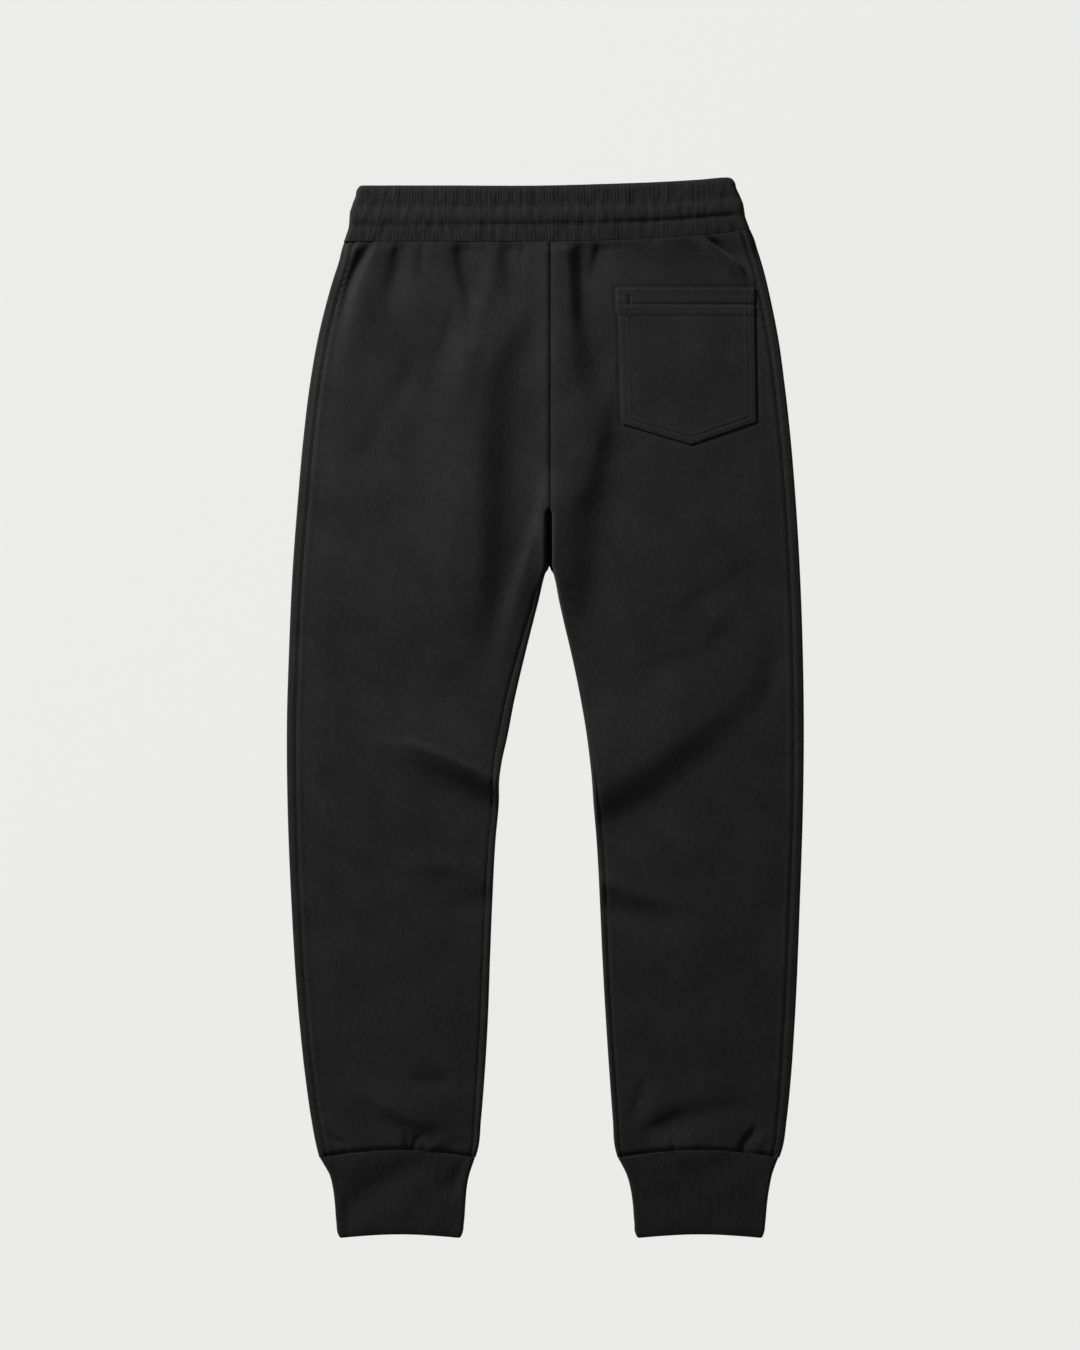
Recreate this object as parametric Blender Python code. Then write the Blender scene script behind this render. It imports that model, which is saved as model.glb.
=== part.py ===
"""Jogger sweatpants laid flat, back side up: four leg panels, a ribbed waistband, a back pocket, two cuffs.

Metres, +Z up. The trousers lie on the plane z = 0 with the waist towards +Y and the wearer's left leg at -X.
Places on the cloth are x, from the middle of the overall width, and "down", from the top of the waistband.
Each front panel lies underneath and wraps round the pressed folds at its edges, so its seams show from above.
Each back panel lies on top between those seams. In the seat the back panels roll over into a deep fold, which
becomes the gap between the legs below the crotch.
"""

import math

import bmesh
import bpy
import numpy as np

# ---- Driving dimensions ----
LENGTH = 1.037
CLOTH = 0.0020
SEAM_GAP = 0.0003
FOLD_RADIUS = 0.0030
LOFT = 0.0019
LOFT_REACH = 0.035
CROTCH_RADIUS = FOLD_RADIUS + LOFT / 2
LEAST_HEIGHT = 2 * CLOTH + 0.0006
CENTRE = 0.0039
WAIST_DOWN = 0.0600
CROTCH_DOWN = 0.3804
LEG_END = 0.9584

# The deep fold down the middle of the seat. Each of its sides rolls over, then drops straight to its rim.
SEAT_FOLD_TOP = 0.3200
SEAT_FOLD_OPEN = 0.3320
SEAT_FOLD_HALF = 0.0027
SEAT_FOLD_RADIUS = {"left": 0.0040, "right": 0.0030}
SEAT_FOLD_RIM = CLOTH + SEAM_GAP

# Ribbed pieces: doubled rib knit, with elastic in the waistband.
BAND_WALL = 0.0026
BAND_RIBS = 96
CUFF_WALL = 0.0024
CUFF_RIBS = 38
RIB_RISE = 0.00050
LEAST_GAP = 0.0008
CUFF_BOW = 0.0073
HEM_BOW = 0.0035

POCKET_CLOTH = 0.0018
POCKET_HEM_RISE = 0.0008
POCKET_HEM = 0.17

# Linear colours of the black sweat jersey and of its rib knit.
JERSEY = (0.016, 0.016, 0.017)
RIB_KNIT = (0.018, 0.018, 0.019)

# Where rows across the panels lie, as distances down. They are close together at gathers, crotch and knee.
ROWS = (
    WAIST_DOWN, 0.0680, 0.0780, 0.0920, 0.1120, 0.1370, 0.1680, 0.2060, 0.2480, 0.2850, 0.3080,
    0.3200, 0.3260, 0.3320, 0.3560, CROTCH_DOWN, 0.3860, 0.3930, 0.4040, 0.4230, 0.4480, 0.4740,
    0.5000, 0.5220, 0.5400, 0.5560, 0.5710, 0.5840, 0.5970, 0.6100, 0.6230, 0.6400, 0.6630,
    0.6930, 0.7260, 0.7650, 0.8040, 0.8430, 0.8760, 0.9020, 0.9220, 0.9380, 0.9500, LEG_END,
)


class Table:
    """Rows of named columns, read on a smooth curve through them. The first column is the place."""

    def __init__(self, columns, rows):
        self.columns = columns.split()
        self.rows = np.array(rows)
        self.slopes = np.gradient(self.rows, self.rows[:, 0], axis=0)

    def at(self, name, place):
        column = self.columns.index(name)
        places = self.rows[:, 0]
        above = int(np.clip(np.searchsorted(places, place) - 1, 0, len(places) - 2))
        span = places[above + 1] - places[above]
        t = min(max((place - places[above]) / span, 0.0), 1.0)
        start, end = self.rows[above, column], self.rows[above + 1, column]
        leaving, arriving = self.slopes[above, column] * span, self.slopes[above + 1, column] * span
        return (
            start * (1 + 2 * t) * (1 - t) ** 2
            + leaving * t * (1 - t) ** 2
            + end * t**2 * (3 - 2 * t)
            + arriving * t**2 * (t - 1)
        )


def lines_of(columns, rows):
    """Each row as a dict of its named columns."""
    return [dict(zip(columns.split(), row)) for row in rows]


# The outer edges of the laid trousers, from the waist seam to the cuffs.
EDGES = Table("down left right", (
    (0.0490, -0.1925, 0.1998),
    (0.0587, -0.1957, 0.2042),
    (0.0700, -0.1994, 0.2077),
    (0.0800, -0.2018, 0.2109),
    (0.0998, -0.2081, 0.2163),
    (0.1193, -0.2137, 0.2207),
    (0.1584, -0.2231, 0.2284),
    (0.1976, -0.2300, 0.2338),
    (0.2562, -0.2372, 0.2403),
    (0.3149, -0.2424, 0.2451),
    (0.3736, -0.2469, 0.2487),
    (0.4714, -0.2514, 0.2523),
    (0.5300, -0.2531, 0.2531),
    (0.6083, -0.2526, 0.2524),
    (0.7061, -0.2489, 0.2493),
    (0.8235, -0.2411, 0.2443),
    (0.8822, -0.2348, 0.2403),
    (0.9213, -0.2292, 0.2363),
    (0.9506, -0.2235, 0.2318),
    (0.9600, -0.2210, 0.2286),
))

# The inner edges of the legs, from the crotch to the cuffs.
INNER = Table("down left right", (
    (0.3804, 0.0012, 0.0066),
    (0.3853, 0.0003, 0.0074),
    (0.3932, -0.0019, 0.0094),
    (0.4127, -0.0064, 0.0131),
    (0.4323, -0.0114, 0.0175),
    (0.4714, -0.0211, 0.0267),
    (0.5105, -0.0302, 0.0346),
    (0.5496, -0.0378, 0.0410),
    (0.5692, -0.0422, 0.0434),
    (0.5887, -0.0450, 0.0454),
    (0.6083, -0.0453, 0.0467),
    (0.6474, -0.0487, 0.0500),
    (0.7061, -0.0518, 0.0532),
    (0.7648, -0.0541, 0.0558),
    (0.8235, -0.0562, 0.0591),
    (0.8822, -0.0597, 0.0630),
    (0.9213, -0.0629, 0.0659),
    (0.9506, -0.0660, 0.0684),
    (0.9600, -0.0688, 0.0710),
))

# How far in from each pressed fold the seam between front and back panel lies on the upper side.
INSETS = Table("down left right left_inner right_inner", (
    (0.0560, 0.0100, 0.0100, 0.0000, 0.0000),
    (0.3860, 0.0100, 0.0100, 0.0000, 0.0000),
    (0.3930, 0.0099, 0.0100, 0.0024, 0.0001),
    (0.4040, 0.0099, 0.0100, 0.0042, 0.0002),
    (0.4230, 0.0098, 0.0100, 0.0050, 0.0003),
    (0.4910, 0.0094, 0.0100, 0.0080, 0.0010),
    (0.5450, 0.0092, 0.0098, 0.0086, 0.0020),
    (0.6000, 0.0090, 0.0096, 0.0062, 0.0050),
    (0.6450, 0.0089, 0.0096, 0.0066, 0.0064),
    (0.7600, 0.0087, 0.0100, 0.0070, 0.0060),
    (0.8600, 0.0086, 0.0100, 0.0076, 0.0060),
    (0.9600, 0.0085, 0.0080, 0.0056, 0.0056),
))

# The waistband's two long edges: its top, and the seam where it is sewn to the panels.
BAND_LINES = Table("x top seam", (
    (-0.2000, 0.0078, 0.0628),
    (-0.1000, 0.0078, 0.0630),
    (0.0000, 0.0078, 0.0629),
    (0.0600, 0.0062, 0.0617),
    (0.1100, 0.0044, 0.0600),
    (0.1500, 0.0021, 0.0570),
    (0.1780, 0.0000, 0.0541),
    (0.2010, 0.0021, 0.0500),
))

# Across the waistband from top to seam: its sides, its height and how strongly its ribs stand out.
BAND = Table("across left right height rib", (
    (0.00, -0.1816, 0.1820, 0.0054, 0.4),
    (0.06, -0.1842, 0.1848, 0.0072, 0.8),
    (0.20, -0.1860, 0.1872, 0.0078, 1.0),
    (0.30, -0.1884, 0.1899, 0.0068, 0.8),
    (0.46, -0.1914, 0.1934, 0.0088, 0.5),
    (0.65, -0.1918, 0.1948, 0.0062, 0.5),
    (0.72, -0.1923, 0.1953, 0.0076, 0.9),
    (0.88, -0.1950, 0.1981, 0.0076, 1.0),
    (1.00, -0.1976, 0.2001, 0.0064, 0.8),
))

# Along each cuff from its seam to its hem.
CUFFS = Table("along left_outer left_inner right_inner right_outer height rib", (
    (0.00, -0.2209, -0.0688, 0.0708, 0.2282, 0.0062, 0.6),
    (0.08, -0.2175, -0.0709, 0.0741, 0.2257, 0.0070, 0.9),
    (0.23, -0.2113, -0.0746, 0.0796, 0.2218, 0.0074, 1.0),
    (0.38, -0.2083, -0.0768, 0.0829, 0.2194, 0.0072, 1.0),
    (0.58, -0.2062, -0.0782, 0.0854, 0.2171, 0.0070, 1.0),
    (0.81, -0.2047, -0.0796, 0.0869, 0.2154, 0.0070, 1.0),
    (0.96, -0.2029, -0.0816, 0.0884, 0.2135, 0.0066, 0.8),
    (1.00, -0.2012, -0.0833, 0.0902, 0.2120, 0.0054, 0.5),
))

# Creases in the upper layer: a line from (x, down) to (to_x, to_down), its half width, its rise where it
# starts and the share of that rise left where it ends. A negative rise is a trough.
CREASES = lines_of("x down to_x to_down width rise end", (
    # Left knee: a trough that runs from the inner edge into the leg, with a ridge on each side of it.
    (-0.0460, 0.6140, -0.1420, 0.5770, 0.0115, -0.0036, 0.15),
    (-0.0460, 0.5840, -0.1500, 0.5480, 0.0150, 0.0044, 0.25),
    (-0.0520, 0.6470, -0.1200, 0.6200, 0.0160, 0.0018, 0.20),
    # Right knee: the same, longer and steeper.
    (0.0480, 0.6220, 0.2020, 0.5180, 0.0130, -0.0036, 0.30),
    (0.0430, 0.5860, 0.1900, 0.4800, 0.0160, 0.0044, 0.40),
    (0.0520, 0.6550, 0.1600, 0.5980, 0.0160, 0.0020, 0.30),
    # Calves: a short trough below each knee.
    (-0.0540, 0.6980, -0.1050, 0.6820, 0.0080, -0.0016, 0.20),
    (0.0550, 0.7020, 0.1020, 0.7160, 0.0085, -0.0022, 0.20),
    (0.0550, 0.6830, 0.1050, 0.6920, 0.0100, 0.0014, 0.30),
    # Ankles, where the cloth is eased into the cuffs.
    (-0.1660, 0.9020, -0.1350, 0.9320, 0.0085, -0.0018, 1.00),
    (-0.1500, 0.8900, -0.1180, 0.9180, 0.0090, 0.0016, 0.80),
    (-0.1310, 0.8800, -0.0880, 0.8820, 0.0080, -0.0014, 0.80),
    (0.1000, 0.9230, 0.1880, 0.9035, 0.0085, -0.0020, 0.40),
    (0.0950, 0.9050, 0.1560, 0.8850, 0.0100, 0.0018, 0.70),
    (0.0920, 0.8870, 0.0827, 0.9180, 0.0070, -0.0014, 1.00),
    (0.2016, 0.9332, 0.1886, 0.9500, 0.0055, -0.0014, 1.20),
    # Left seat: a broad trough down to the crotch, a ridge beside the fold, and slack at the side of the hip.
    (-0.0250, 0.1500, -0.0560, 0.2540, 0.0180, -0.0018, 1.20),
    (-0.0560, 0.2540, -0.0310, 0.4050, 0.0130, -0.0026, 0.60),
    (-0.0040, 0.3250, -0.0200, 0.3900, 0.0070, 0.0014, 0.40),
    (-0.1020, 0.1500, -0.1180, 0.2600, 0.0300, 0.0026, 0.50),
    (-0.1760, 0.1300, -0.1900, 0.2100, 0.0140, 0.0016, 0.30),
    # Left waist corner: a notch that runs to the side seam, with a long ridge and a soft trough beside it.
    (-0.1676, 0.0616, -0.1836, 0.0812, 0.0040, -0.0018, 0.60),
    (-0.1574, 0.0659, -0.1852, 0.1177, 0.0050, 0.0016, 0.50),
    (-0.1454, 0.0685, -0.1565, 0.1108, 0.0060, -0.0012, 0.50),
    # Right seat: a long soft trough, one by the crotch, and a curved fold from the waist to the side.
    (0.0274, 0.0690, 0.0290, 0.1250, 0.0050, -0.0024, 0.80),
    (0.0290, 0.1250, 0.0400, 0.2180, 0.0080, -0.0019, 0.80),
    (0.0400, 0.2180, 0.0530, 0.2500, 0.0100, -0.0015, 0.20),
    (0.0160, 0.3330, 0.0270, 0.4120, 0.0090, -0.0016, 0.60),
    (0.1620, 0.0620, 0.1850, 0.0778, 0.0042, -0.0022, 1.00),
    (0.1850, 0.0778, 0.1990, 0.0960, 0.0042, -0.0022, 0.40),
    (0.1600, 0.0660, 0.1720, 0.0770, 0.0042, 0.0012, 0.60),
))

# Gathers that leave the waist seam, and a few at the cuffs, pressed into the outer face of the cloth.
GATHERS = lines_of("x down to_x to_down width depth", (
    (-0.1630, 0.0640, -0.1700, 0.0780, 0.0035, 0.0008),
    (-0.1340, 0.0640, -0.1370, 0.0860, 0.0045, 0.0008),
    (-0.1130, 0.0640, -0.1160, 0.0840, 0.0045, 0.0009),
    (-0.0870, 0.0640, -0.0850, 0.1080, 0.0045, 0.0013),
    (-0.0640, 0.0640, -0.0650, 0.0820, 0.0040, 0.0008),
    (-0.0434, 0.0640, -0.0464, 0.1000, 0.0040, 0.0012),
    (-0.0233, 0.0640, -0.0225, 0.0740, 0.0035, 0.0010),
    (0.0170, 0.0640, 0.0160, 0.0800, 0.0040, 0.0008),
    (0.0350, 0.0640, 0.0348, 0.0730, 0.0035, 0.0008),
    (0.0460, 0.0640, 0.0436, 0.0851, 0.0040, 0.0012),
    (0.0620, 0.0640, 0.0600, 0.0780, 0.0040, 0.0008),
    (0.0850, 0.0630, 0.0860, 0.0800, 0.0045, 0.0007),
    (0.1070, 0.0610, 0.1041, 0.0720, 0.0040, 0.0011),
    (0.1350, 0.0600, 0.1400, 0.0780, 0.0045, 0.0008),
    (0.1560, 0.0590, 0.1596, 0.0700, 0.0035, 0.0009),
    (-0.1940, 0.9500, -0.2095, 0.9370, 0.0035, 0.0009),
    (-0.1350, 0.9490, -0.1373, 0.9340, 0.0035, 0.0012),
    (-0.1297, 0.9490, -0.1175, 0.9324, 0.0035, 0.0013),
    (-0.0900, 0.9530, -0.0880, 0.9400, 0.0045, 0.0009),
    (0.1010, 0.9520, 0.0990, 0.9400, 0.0045, 0.0009),
    (0.1272, 0.9490, 0.1242, 0.9370, 0.0040, 0.0011),
    (0.1620, 0.9500, 0.1650, 0.9390, 0.0045, 0.0009),
))

# The back pocket on the right: a pentagon with its point a little right of the middle.
POCKET_TOP = {"left": 0.0690, "right": 0.2042, "down": 0.1080}
POCKET_CORNERS = {"left": 0.0748, "right": 0.2062, "left_down": 0.2407, "right_down": 0.2386}
POCKET_POINT = {"across": 0.512, "down": 0.2609}


def ease(t):
    """From 0 to 1, with no slope at either end."""
    t = min(max(t, 0.0), 1.0)
    return t * t * (3 - 2 * t)


def mix(a, b, t):
    return a + (b - a) * t


# ---- The shape of the laid cloth ----

def side_name(side):
    return "left" if side < 0 else "right"


def edge(side, down):
    return EDGES.at(side_name(side), down)


def inner(side, down):
    return INNER.at(side_name(side), max(down, CROTCH_DOWN))


def inner_radius(down):
    """The inner folds are fuller at the crotch, where all four panels meet."""
    return mix(CROTCH_RADIUS, FOLD_RADIUS, ease((down - CROTCH_DOWN) / 0.070))


def distance_along(line, x, down):
    """How far a place is from a crease's line, and how far along the line it lies, from 0 to 1."""
    run_x, run_down = line["to_x"] - line["x"], line["to_down"] - line["down"]
    t = ((x - line["x"]) * run_x + (down - line["down"]) * run_down) / (run_x**2 + run_down**2)
    t = min(max(t, 0.0), 1.0)
    return math.hypot(x - line["x"] - t * run_x, down - line["down"] - t * run_down), t


def crease_lift(x, down):
    lift = 0.0
    for line in CREASES:
        away, t = distance_along(line, x, down)
        lift += line["rise"] * mix(1.0, line["end"], t) * math.exp(-((away / line["width"]) ** 2))
    return lift


def gather_dip(x, down):
    dip = 0.0
    for line in GATHERS:
        away, t = distance_along(line, x, down)
        dip += line["depth"] * (1.0 - 0.8 * t) * math.exp(-((away / line["width"]) ** 2))
    return min(dip, 0.6 * CLOTH)


def seam_dip(x, down):
    """The cloth is pulled down where it is sewn to the waistband and the cuffs, and along the seat seam."""
    at_ends = max(1 - ease((down - WAIST_DOWN) / 0.012), 1 - ease((LEG_END - down) / 0.012))
    at_seat = math.exp(-(((x - CENTRE) / 0.0025) ** 2)) * (1 - ease((down - SEAT_FOLD_TOP) / 0.010))
    return 0.0010 * at_ends + 0.0006 * at_seat * (1 - at_ends)


def upper_height(side, x, down):
    """The height of the back layer's outer face, without the gathers."""
    middle = 2 * FOLD_RADIUS + LOFT
    from_edge = side * (edge(side, down) - x) - FOLD_RADIUS
    height = middle - LOFT * (1 - ease(from_edge / LOFT_REACH))
    free = ease(from_edge / 0.012)
    if down > CROTCH_DOWN:
        radius = inner_radius(down)
        from_inner = side * (x - inner(side, down)) - radius
        height -= (middle - 2 * radius) * (1 - ease(from_inner / LOFT_REACH))
        free *= ease(from_inner / 0.007)
    height += free * (crease_lift(x, down) - seam_dip(x, down))
    return max(height, LEAST_HEIGHT)


def band_top(x):
    return max(BAND_LINES.at("top", x), 0.0)


def cuff_seam(side, x):
    """How far down the seam between leg and cuff lies. It bows up towards the middle of the leg."""
    first, last = CUFFS.at(side_name(side) + "_outer", 0.0), CUFFS.at(side_name(side) + "_inner", 0.0)
    across = min(max((x - first) / (last - first), 0.0), 1.0)
    return LEG_END - CUFF_BOW * math.sin(math.pi * across)


def lay(side, row, x_at):
    """The place (x, down) of a point in a row, where x_at gives its x at any distance down.

    The first rows follow the waistband's seam and the last rows follow the cuff's.
    """
    waist = 1 - ease((row - WAIST_DOWN) / 0.060)
    cuff = ease((row - 0.880) / (LEG_END - 0.880))
    down = row
    for _ in range(4):
        x = x_at(down)
        down = row + waist * (BAND_LINES.at("seam", x) - WAIST_DOWN + SEAM_GAP / 2)
        down += cuff * (cuff_seam(side, x) - LEG_END - SEAM_GAP / 2)
    return x, down


def inner_inset(side, down):
    return max(INSETS.at(side_name(side) + "_inner", down), 0.0)


def roll_of(side, down):
    """How a back panel's inner end rolls over: its x at the start, radius, angle and the drop after it."""
    if down > CROTCH_DOWN:
        radius, inset = inner_radius(down), inner_inset(side, down)
        if inset >= radius:
            return inner(side, down) + side * (inset + SEAM_GAP / 2), radius, 0.0, 0.0
        turn = math.pi / 2 - math.acos(1 - inset / radius) - SEAM_GAP / 2 / radius
        return inner(side, down) + side * radius, radius, max(turn, 0.0), 0.0
    opened = ease((down - SEAT_FOLD_TOP) / (SEAT_FOLD_OPEN - SEAT_FOLD_TOP))
    radius, turn = SEAT_FOLD_RADIUS[side_name(side)], math.pi / 2 * opened
    start_height = 2 * FOLD_RADIUS + LOFT
    drop = opened * (start_height - radius - SEAT_FOLD_RIM)
    rim = CENTRE + side * mix(SEAM_GAP / 2, SEAT_FOLD_HALF, opened)
    return rim + side * (drop * math.cos(turn) + radius * math.sin(turn)), radius, turn, drop


def roll_length(side):
    """The length of cloth from where the roll starts to the rim, where the seat fold is open."""
    radius = SEAT_FOLD_RADIUS[side_name(side)]
    return radius * math.pi / 2 + 2 * FOLD_RADIUS + LOFT - radius - SEAT_FOLD_RIM


# ---- Rows of points. Each is a list of (u, x, down, z), with u from 0 to 1 along the row ----

def back_row(side, row, sheet_steps, roll_steps, inside):
    """One row across a back panel, on its outer face or, inside, one wall's thickness below it."""
    depth = CLOTH if inside else 0.0
    points = []
    for step in range(sheet_steps + roll_steps + 1):
        rolled = max(step - sheet_steps, 0) / roll_steps
        from_rim = roll_length(side) * (1 - rolled)

        def place_at(down):
            """x, how far the cloth has turned and dropped there, and where the turn starts."""
            roll_x, radius, turn, drop = roll_of(side, down)
            if step <= sheet_steps:
                start = edge(side, down) - side * (INSETS.at(side_name(side), down) + SEAM_GAP / 2)
                end = roll_x + side * (roll_length(side) - radius * turn - drop)
                return mix(start, end, step / sheet_steps), 0.0, 0.0, roll_x
            dropped = max(drop - from_rim, 0.0)
            walked = radius * turn - max(from_rim - drop, 0.0)
            angle = min(max(walked / radius, 0.0), turn)
            flat = max(-walked, 0.0)
            x = roll_x + side * (flat - (radius - depth) * math.sin(angle) - dropped * math.cos(turn))
            return x, angle, dropped, roll_x

        x, down = lay(side, row, lambda down: place_at(down)[0])
        _, angle, dropped, roll_x = place_at(down)
        radius, turn = roll_of(side, down)[1:3]
        height = upper_height(side, roll_x if angle else x, down)
        if not inside and not angle:
            height -= gather_dip(x, down)
        z = height - radius * (1 - math.cos(angle)) - depth * math.cos(angle) - dropped * math.sin(turn)
        u = mix(0.92, 1.0, rolled) if rolled else 0.92 * step / sheet_steps
        points.append((u, x, down, max(z, SEAT_FOLD_RIM)))
    return points


def front_row(side, row, arc_steps, flat_steps, curl_steps, inside):
    """One row round a front panel: over the outer fold, along the underside and up round the inner fold."""
    depth = CLOTH if inside else 0.0
    reach = FOLD_RADIUS - depth
    path = []

    def seam_at(down):
        return edge(side, down) - side * (INSETS.at(side_name(side), down) - SEAM_GAP / 2)

    x, down = lay(side, row, seam_at)
    path.append((x, down, upper_height(side, x, down) - depth))
    for step in range(arc_steps + 1):
        angle = math.pi * step / arc_steps
        out = side * (reach * math.sin(angle) - FOLD_RADIUS)
        x, down = lay(side, row, lambda down: edge(side, down) + out)
        path.append((x, down, FOLD_RADIUS + reach * math.cos(angle)))

    def underside_start(down):
        return edge(side, down) - side * FOLD_RADIUS

    def underside_end(down):
        if row <= CROTCH_DOWN:
            return CENTRE + side * (SEAM_GAP / 2 + CROTCH_RADIUS * math.pi / 2)
        return inner(side, down) + side * inner_radius(down)

    for step in range(1, flat_steps):
        t = step / flat_steps
        x, down = lay(side, row, lambda down: mix(underside_start(down), underside_end(down), t))
        path.append((x, down, depth))

    for step in range(curl_steps + 1):
        x, down = lay(side, row, lambda down: curl_place(side, row, down, step / curl_steps, depth)[0])
        path.append((x, down, curl_place(side, row, down, step / curl_steps, depth)[1]))
    return [(k / (len(path) - 1), *point) for k, point in enumerate(path)]


def curl_place(side, row, down, share, depth):
    """x and z on the front panel's inner end: flat in the seat, and up round the fold on the legs."""
    if row <= CROTCH_DOWN:
        return CENTRE + side * (SEAM_GAP / 2 + CROTCH_RADIUS * math.pi / 2 * (1 - share)), depth
    radius, inset = inner_radius(down), inner_inset(side, down)
    over = max(inset - SEAM_GAP / 2 - radius, 0.0)
    rise = math.acos(max(1 - inset / radius, 0.0)) - (0.0 if over else SEAM_GAP / 2 / radius)
    turn = math.pi / 2 + rise
    walked = (radius * turn + over) * share
    angle = min(walked / radius, turn)
    past = max(walked - radius * turn, 0.0)
    centre = inner(side, down) + side * radius
    if past:
        return centre + side * past, upper_height(side, centre + side * past, down) - depth
    return centre - side * (radius - depth) * math.sin(angle), radius - (radius - depth) * math.cos(angle)


def ring_row(left, right, height, wall, ribs, rise, down_at, inside, at_rim):
    """One ring round a flattened tube, from the left end of its underside towards the right.

    The top of the outer face has the ribs. The inside is plain, one wall in from the outer face. At a rim it
    has a point for each rib, so that the rim follows them.
    """
    arc_steps = 2 if inside else 4
    flat_steps = 12
    plain_steps = ribs if at_rim else flat_steps
    top_steps = plain_steps if inside else 2 * ribs
    low, high = (wall, max(height - wall, wall + LEAST_GAP)) if inside else (0.0, height)
    radius = (high - low) / 2
    tuck = wall if inside else 0.0
    first, last = left + tuck + radius, right - tuck - radius
    points = []
    for step in range(flat_steps):
        points.append((mix(first, last, step / flat_steps), low))
    for step in range(arc_steps):
        angle = math.pi * step / arc_steps
        points.append((last + radius * math.sin(angle), low + radius * (1 - math.cos(angle))))
    for step in range(top_steps):
        t = step / top_steps
        rib = 0.0 if inside else rise * (1 if step % 2 else -1) * ease(min(t, 1 - t) / 0.03)
        points.append((mix(last, first, t), high + rib))
    for step in range(arc_steps):
        angle = math.pi * step / arc_steps
        points.append((first - radius * math.sin(angle), high - radius * (1 - math.cos(angle))))
    shares = (0.40, 0.10, 0.40, 0.10)
    counts = (flat_steps, arc_steps, top_steps, arc_steps)
    row, done = [], 0.0
    for share, count in zip(shares, counts):
        for step in range(count):
            x, z = points[len(row)]
            row.append((done + share * step / count, x, down_at(x), z))
        done += share
    return row


# ---- Walls: two faces of rows, closed along their rims ----

def add_row(mesh, row):
    return [(u, mesh.verts.new((x, LENGTH / 2 - down, z))) for u, x, down, z in row]


def stitch(mesh, one, other, loop):
    """Fills between two rows of (u, vertex) that may differ in count, going on along the one behind."""
    if loop:
        one = one + [(one[0][0] + 1, one[0][1])]
        other = other + [(other[0][0] + 1, other[0][1])]
    i = j = 0
    while i < len(one) - 1 or j < len(other) - 1:
        other_done = j == len(other) - 1
        if other_done or (i < len(one) - 1 and one[i + 1][0] <= other[j + 1][0]):
            mesh.faces.new((one[i][1], one[i + 1][1], other[j][1]))
            i += 1
        else:
            mesh.faces.new((one[i][1], other[j + 1][1], other[j][1]))
            j += 1


def add_wall(name, outer, inside, loop, colour, collection):
    """A closed solid between the rows of an outer face and those of an inner face."""
    mesh = bmesh.new()
    outer = [add_row(mesh, row) for row in outer]
    inside = [add_row(mesh, row) for row in inside]
    for face in (outer, inside):
        for one, other in zip(face, face[1:]):
            stitch(mesh, one, other, loop)
    stitch(mesh, outer[0], inside[0], loop)
    stitch(mesh, outer[-1], inside[-1], loop)
    if not loop:
        for end in (0, -1):
            outer_rim = [(k, row[end][1]) for k, row in enumerate(outer)]
            inside_rim = [(k, row[end][1]) for k, row in enumerate(inside)]
            stitch(mesh, outer_rim, inside_rim, False)
    bmesh.ops.recalc_face_normals(mesh, faces=mesh.faces)
    data = bpy.data.meshes.new(name)
    mesh.to_mesh(data)
    mesh.free()
    data.shade_smooth()
    data.set_sharp_from_angle(angle=math.radians(18))
    data.materials.append(cloth_material(name, colour))
    solid = bpy.data.objects.new(name, data)
    collection.objects.link(solid)
    return solid


def cloth_material(name, colour):
    material = bpy.data.materials.new(name)
    material.use_nodes = True
    shader = material.node_tree.nodes["Principled BSDF"]
    shader.inputs["Base Color"].default_value = (*colour, 1.0)
    shader.inputs["Roughness"].default_value = 0.92
    shader.inputs["Metallic"].default_value = 0.0
    return material


# ---- The pieces ----

def sheet_steps_at(row):
    """Columns are close together where the cloth is gathered or creased."""
    if row < 0.090:
        return 42
    if row < 0.500:
        return 14
    if row < 0.650:
        return 18
    if row < 0.890:
        return 12
    return 22


def underside_steps_at(row):
    """Only the two sewn ends need columns on the flat underside, to follow their curved seams."""
    return 12 if row in (ROWS[0], ROWS[-1]) else 3


def add_back_panel(side, collection):
    outer = [back_row(side, row, sheet_steps_at(row), 5, False) for row in ROWS]
    inside = [back_row(side, row, 14 if 0.500 <= row < 0.650 else 9, 3, True) for row in ROWS]
    return add_wall(f"back_{side_name(side)}_panel", outer, inside, False, JERSEY, collection)


def add_front_panel(side, collection):
    outer = [front_row(side, row, 5, underside_steps_at(row), 5, False) for row in ROWS]
    inside = [front_row(side, row, 3, underside_steps_at(row), 4, True) for row in ROWS]
    return add_wall(f"front_{side_name(side)}_panel", outer, inside, False, JERSEY, collection)


def add_waistband(collection):
    def ring(across, inside):
        def down_at(x):
            return mix(band_top(x), BAND_LINES.at("seam", x) - SEAM_GAP / 2, across)

        sides = BAND.at("left", across), BAND.at("right", across)
        rise = RIB_RISE * BAND.at("rib", across)
        height = BAND.at("height", across)
        at_rim = across in (0.0, 1.0)
        return ring_row(*sides, height, BAND_WALL, BAND_RIBS, rise, down_at, inside, at_rim)

    outer = [ring(across, False) for across in BAND.rows[:, 0]]
    inside = [ring(across, True) for across in BAND.rows[:, 0]]
    return add_wall("waistband", outer, inside, True, RIB_KNIT, collection)


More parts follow.
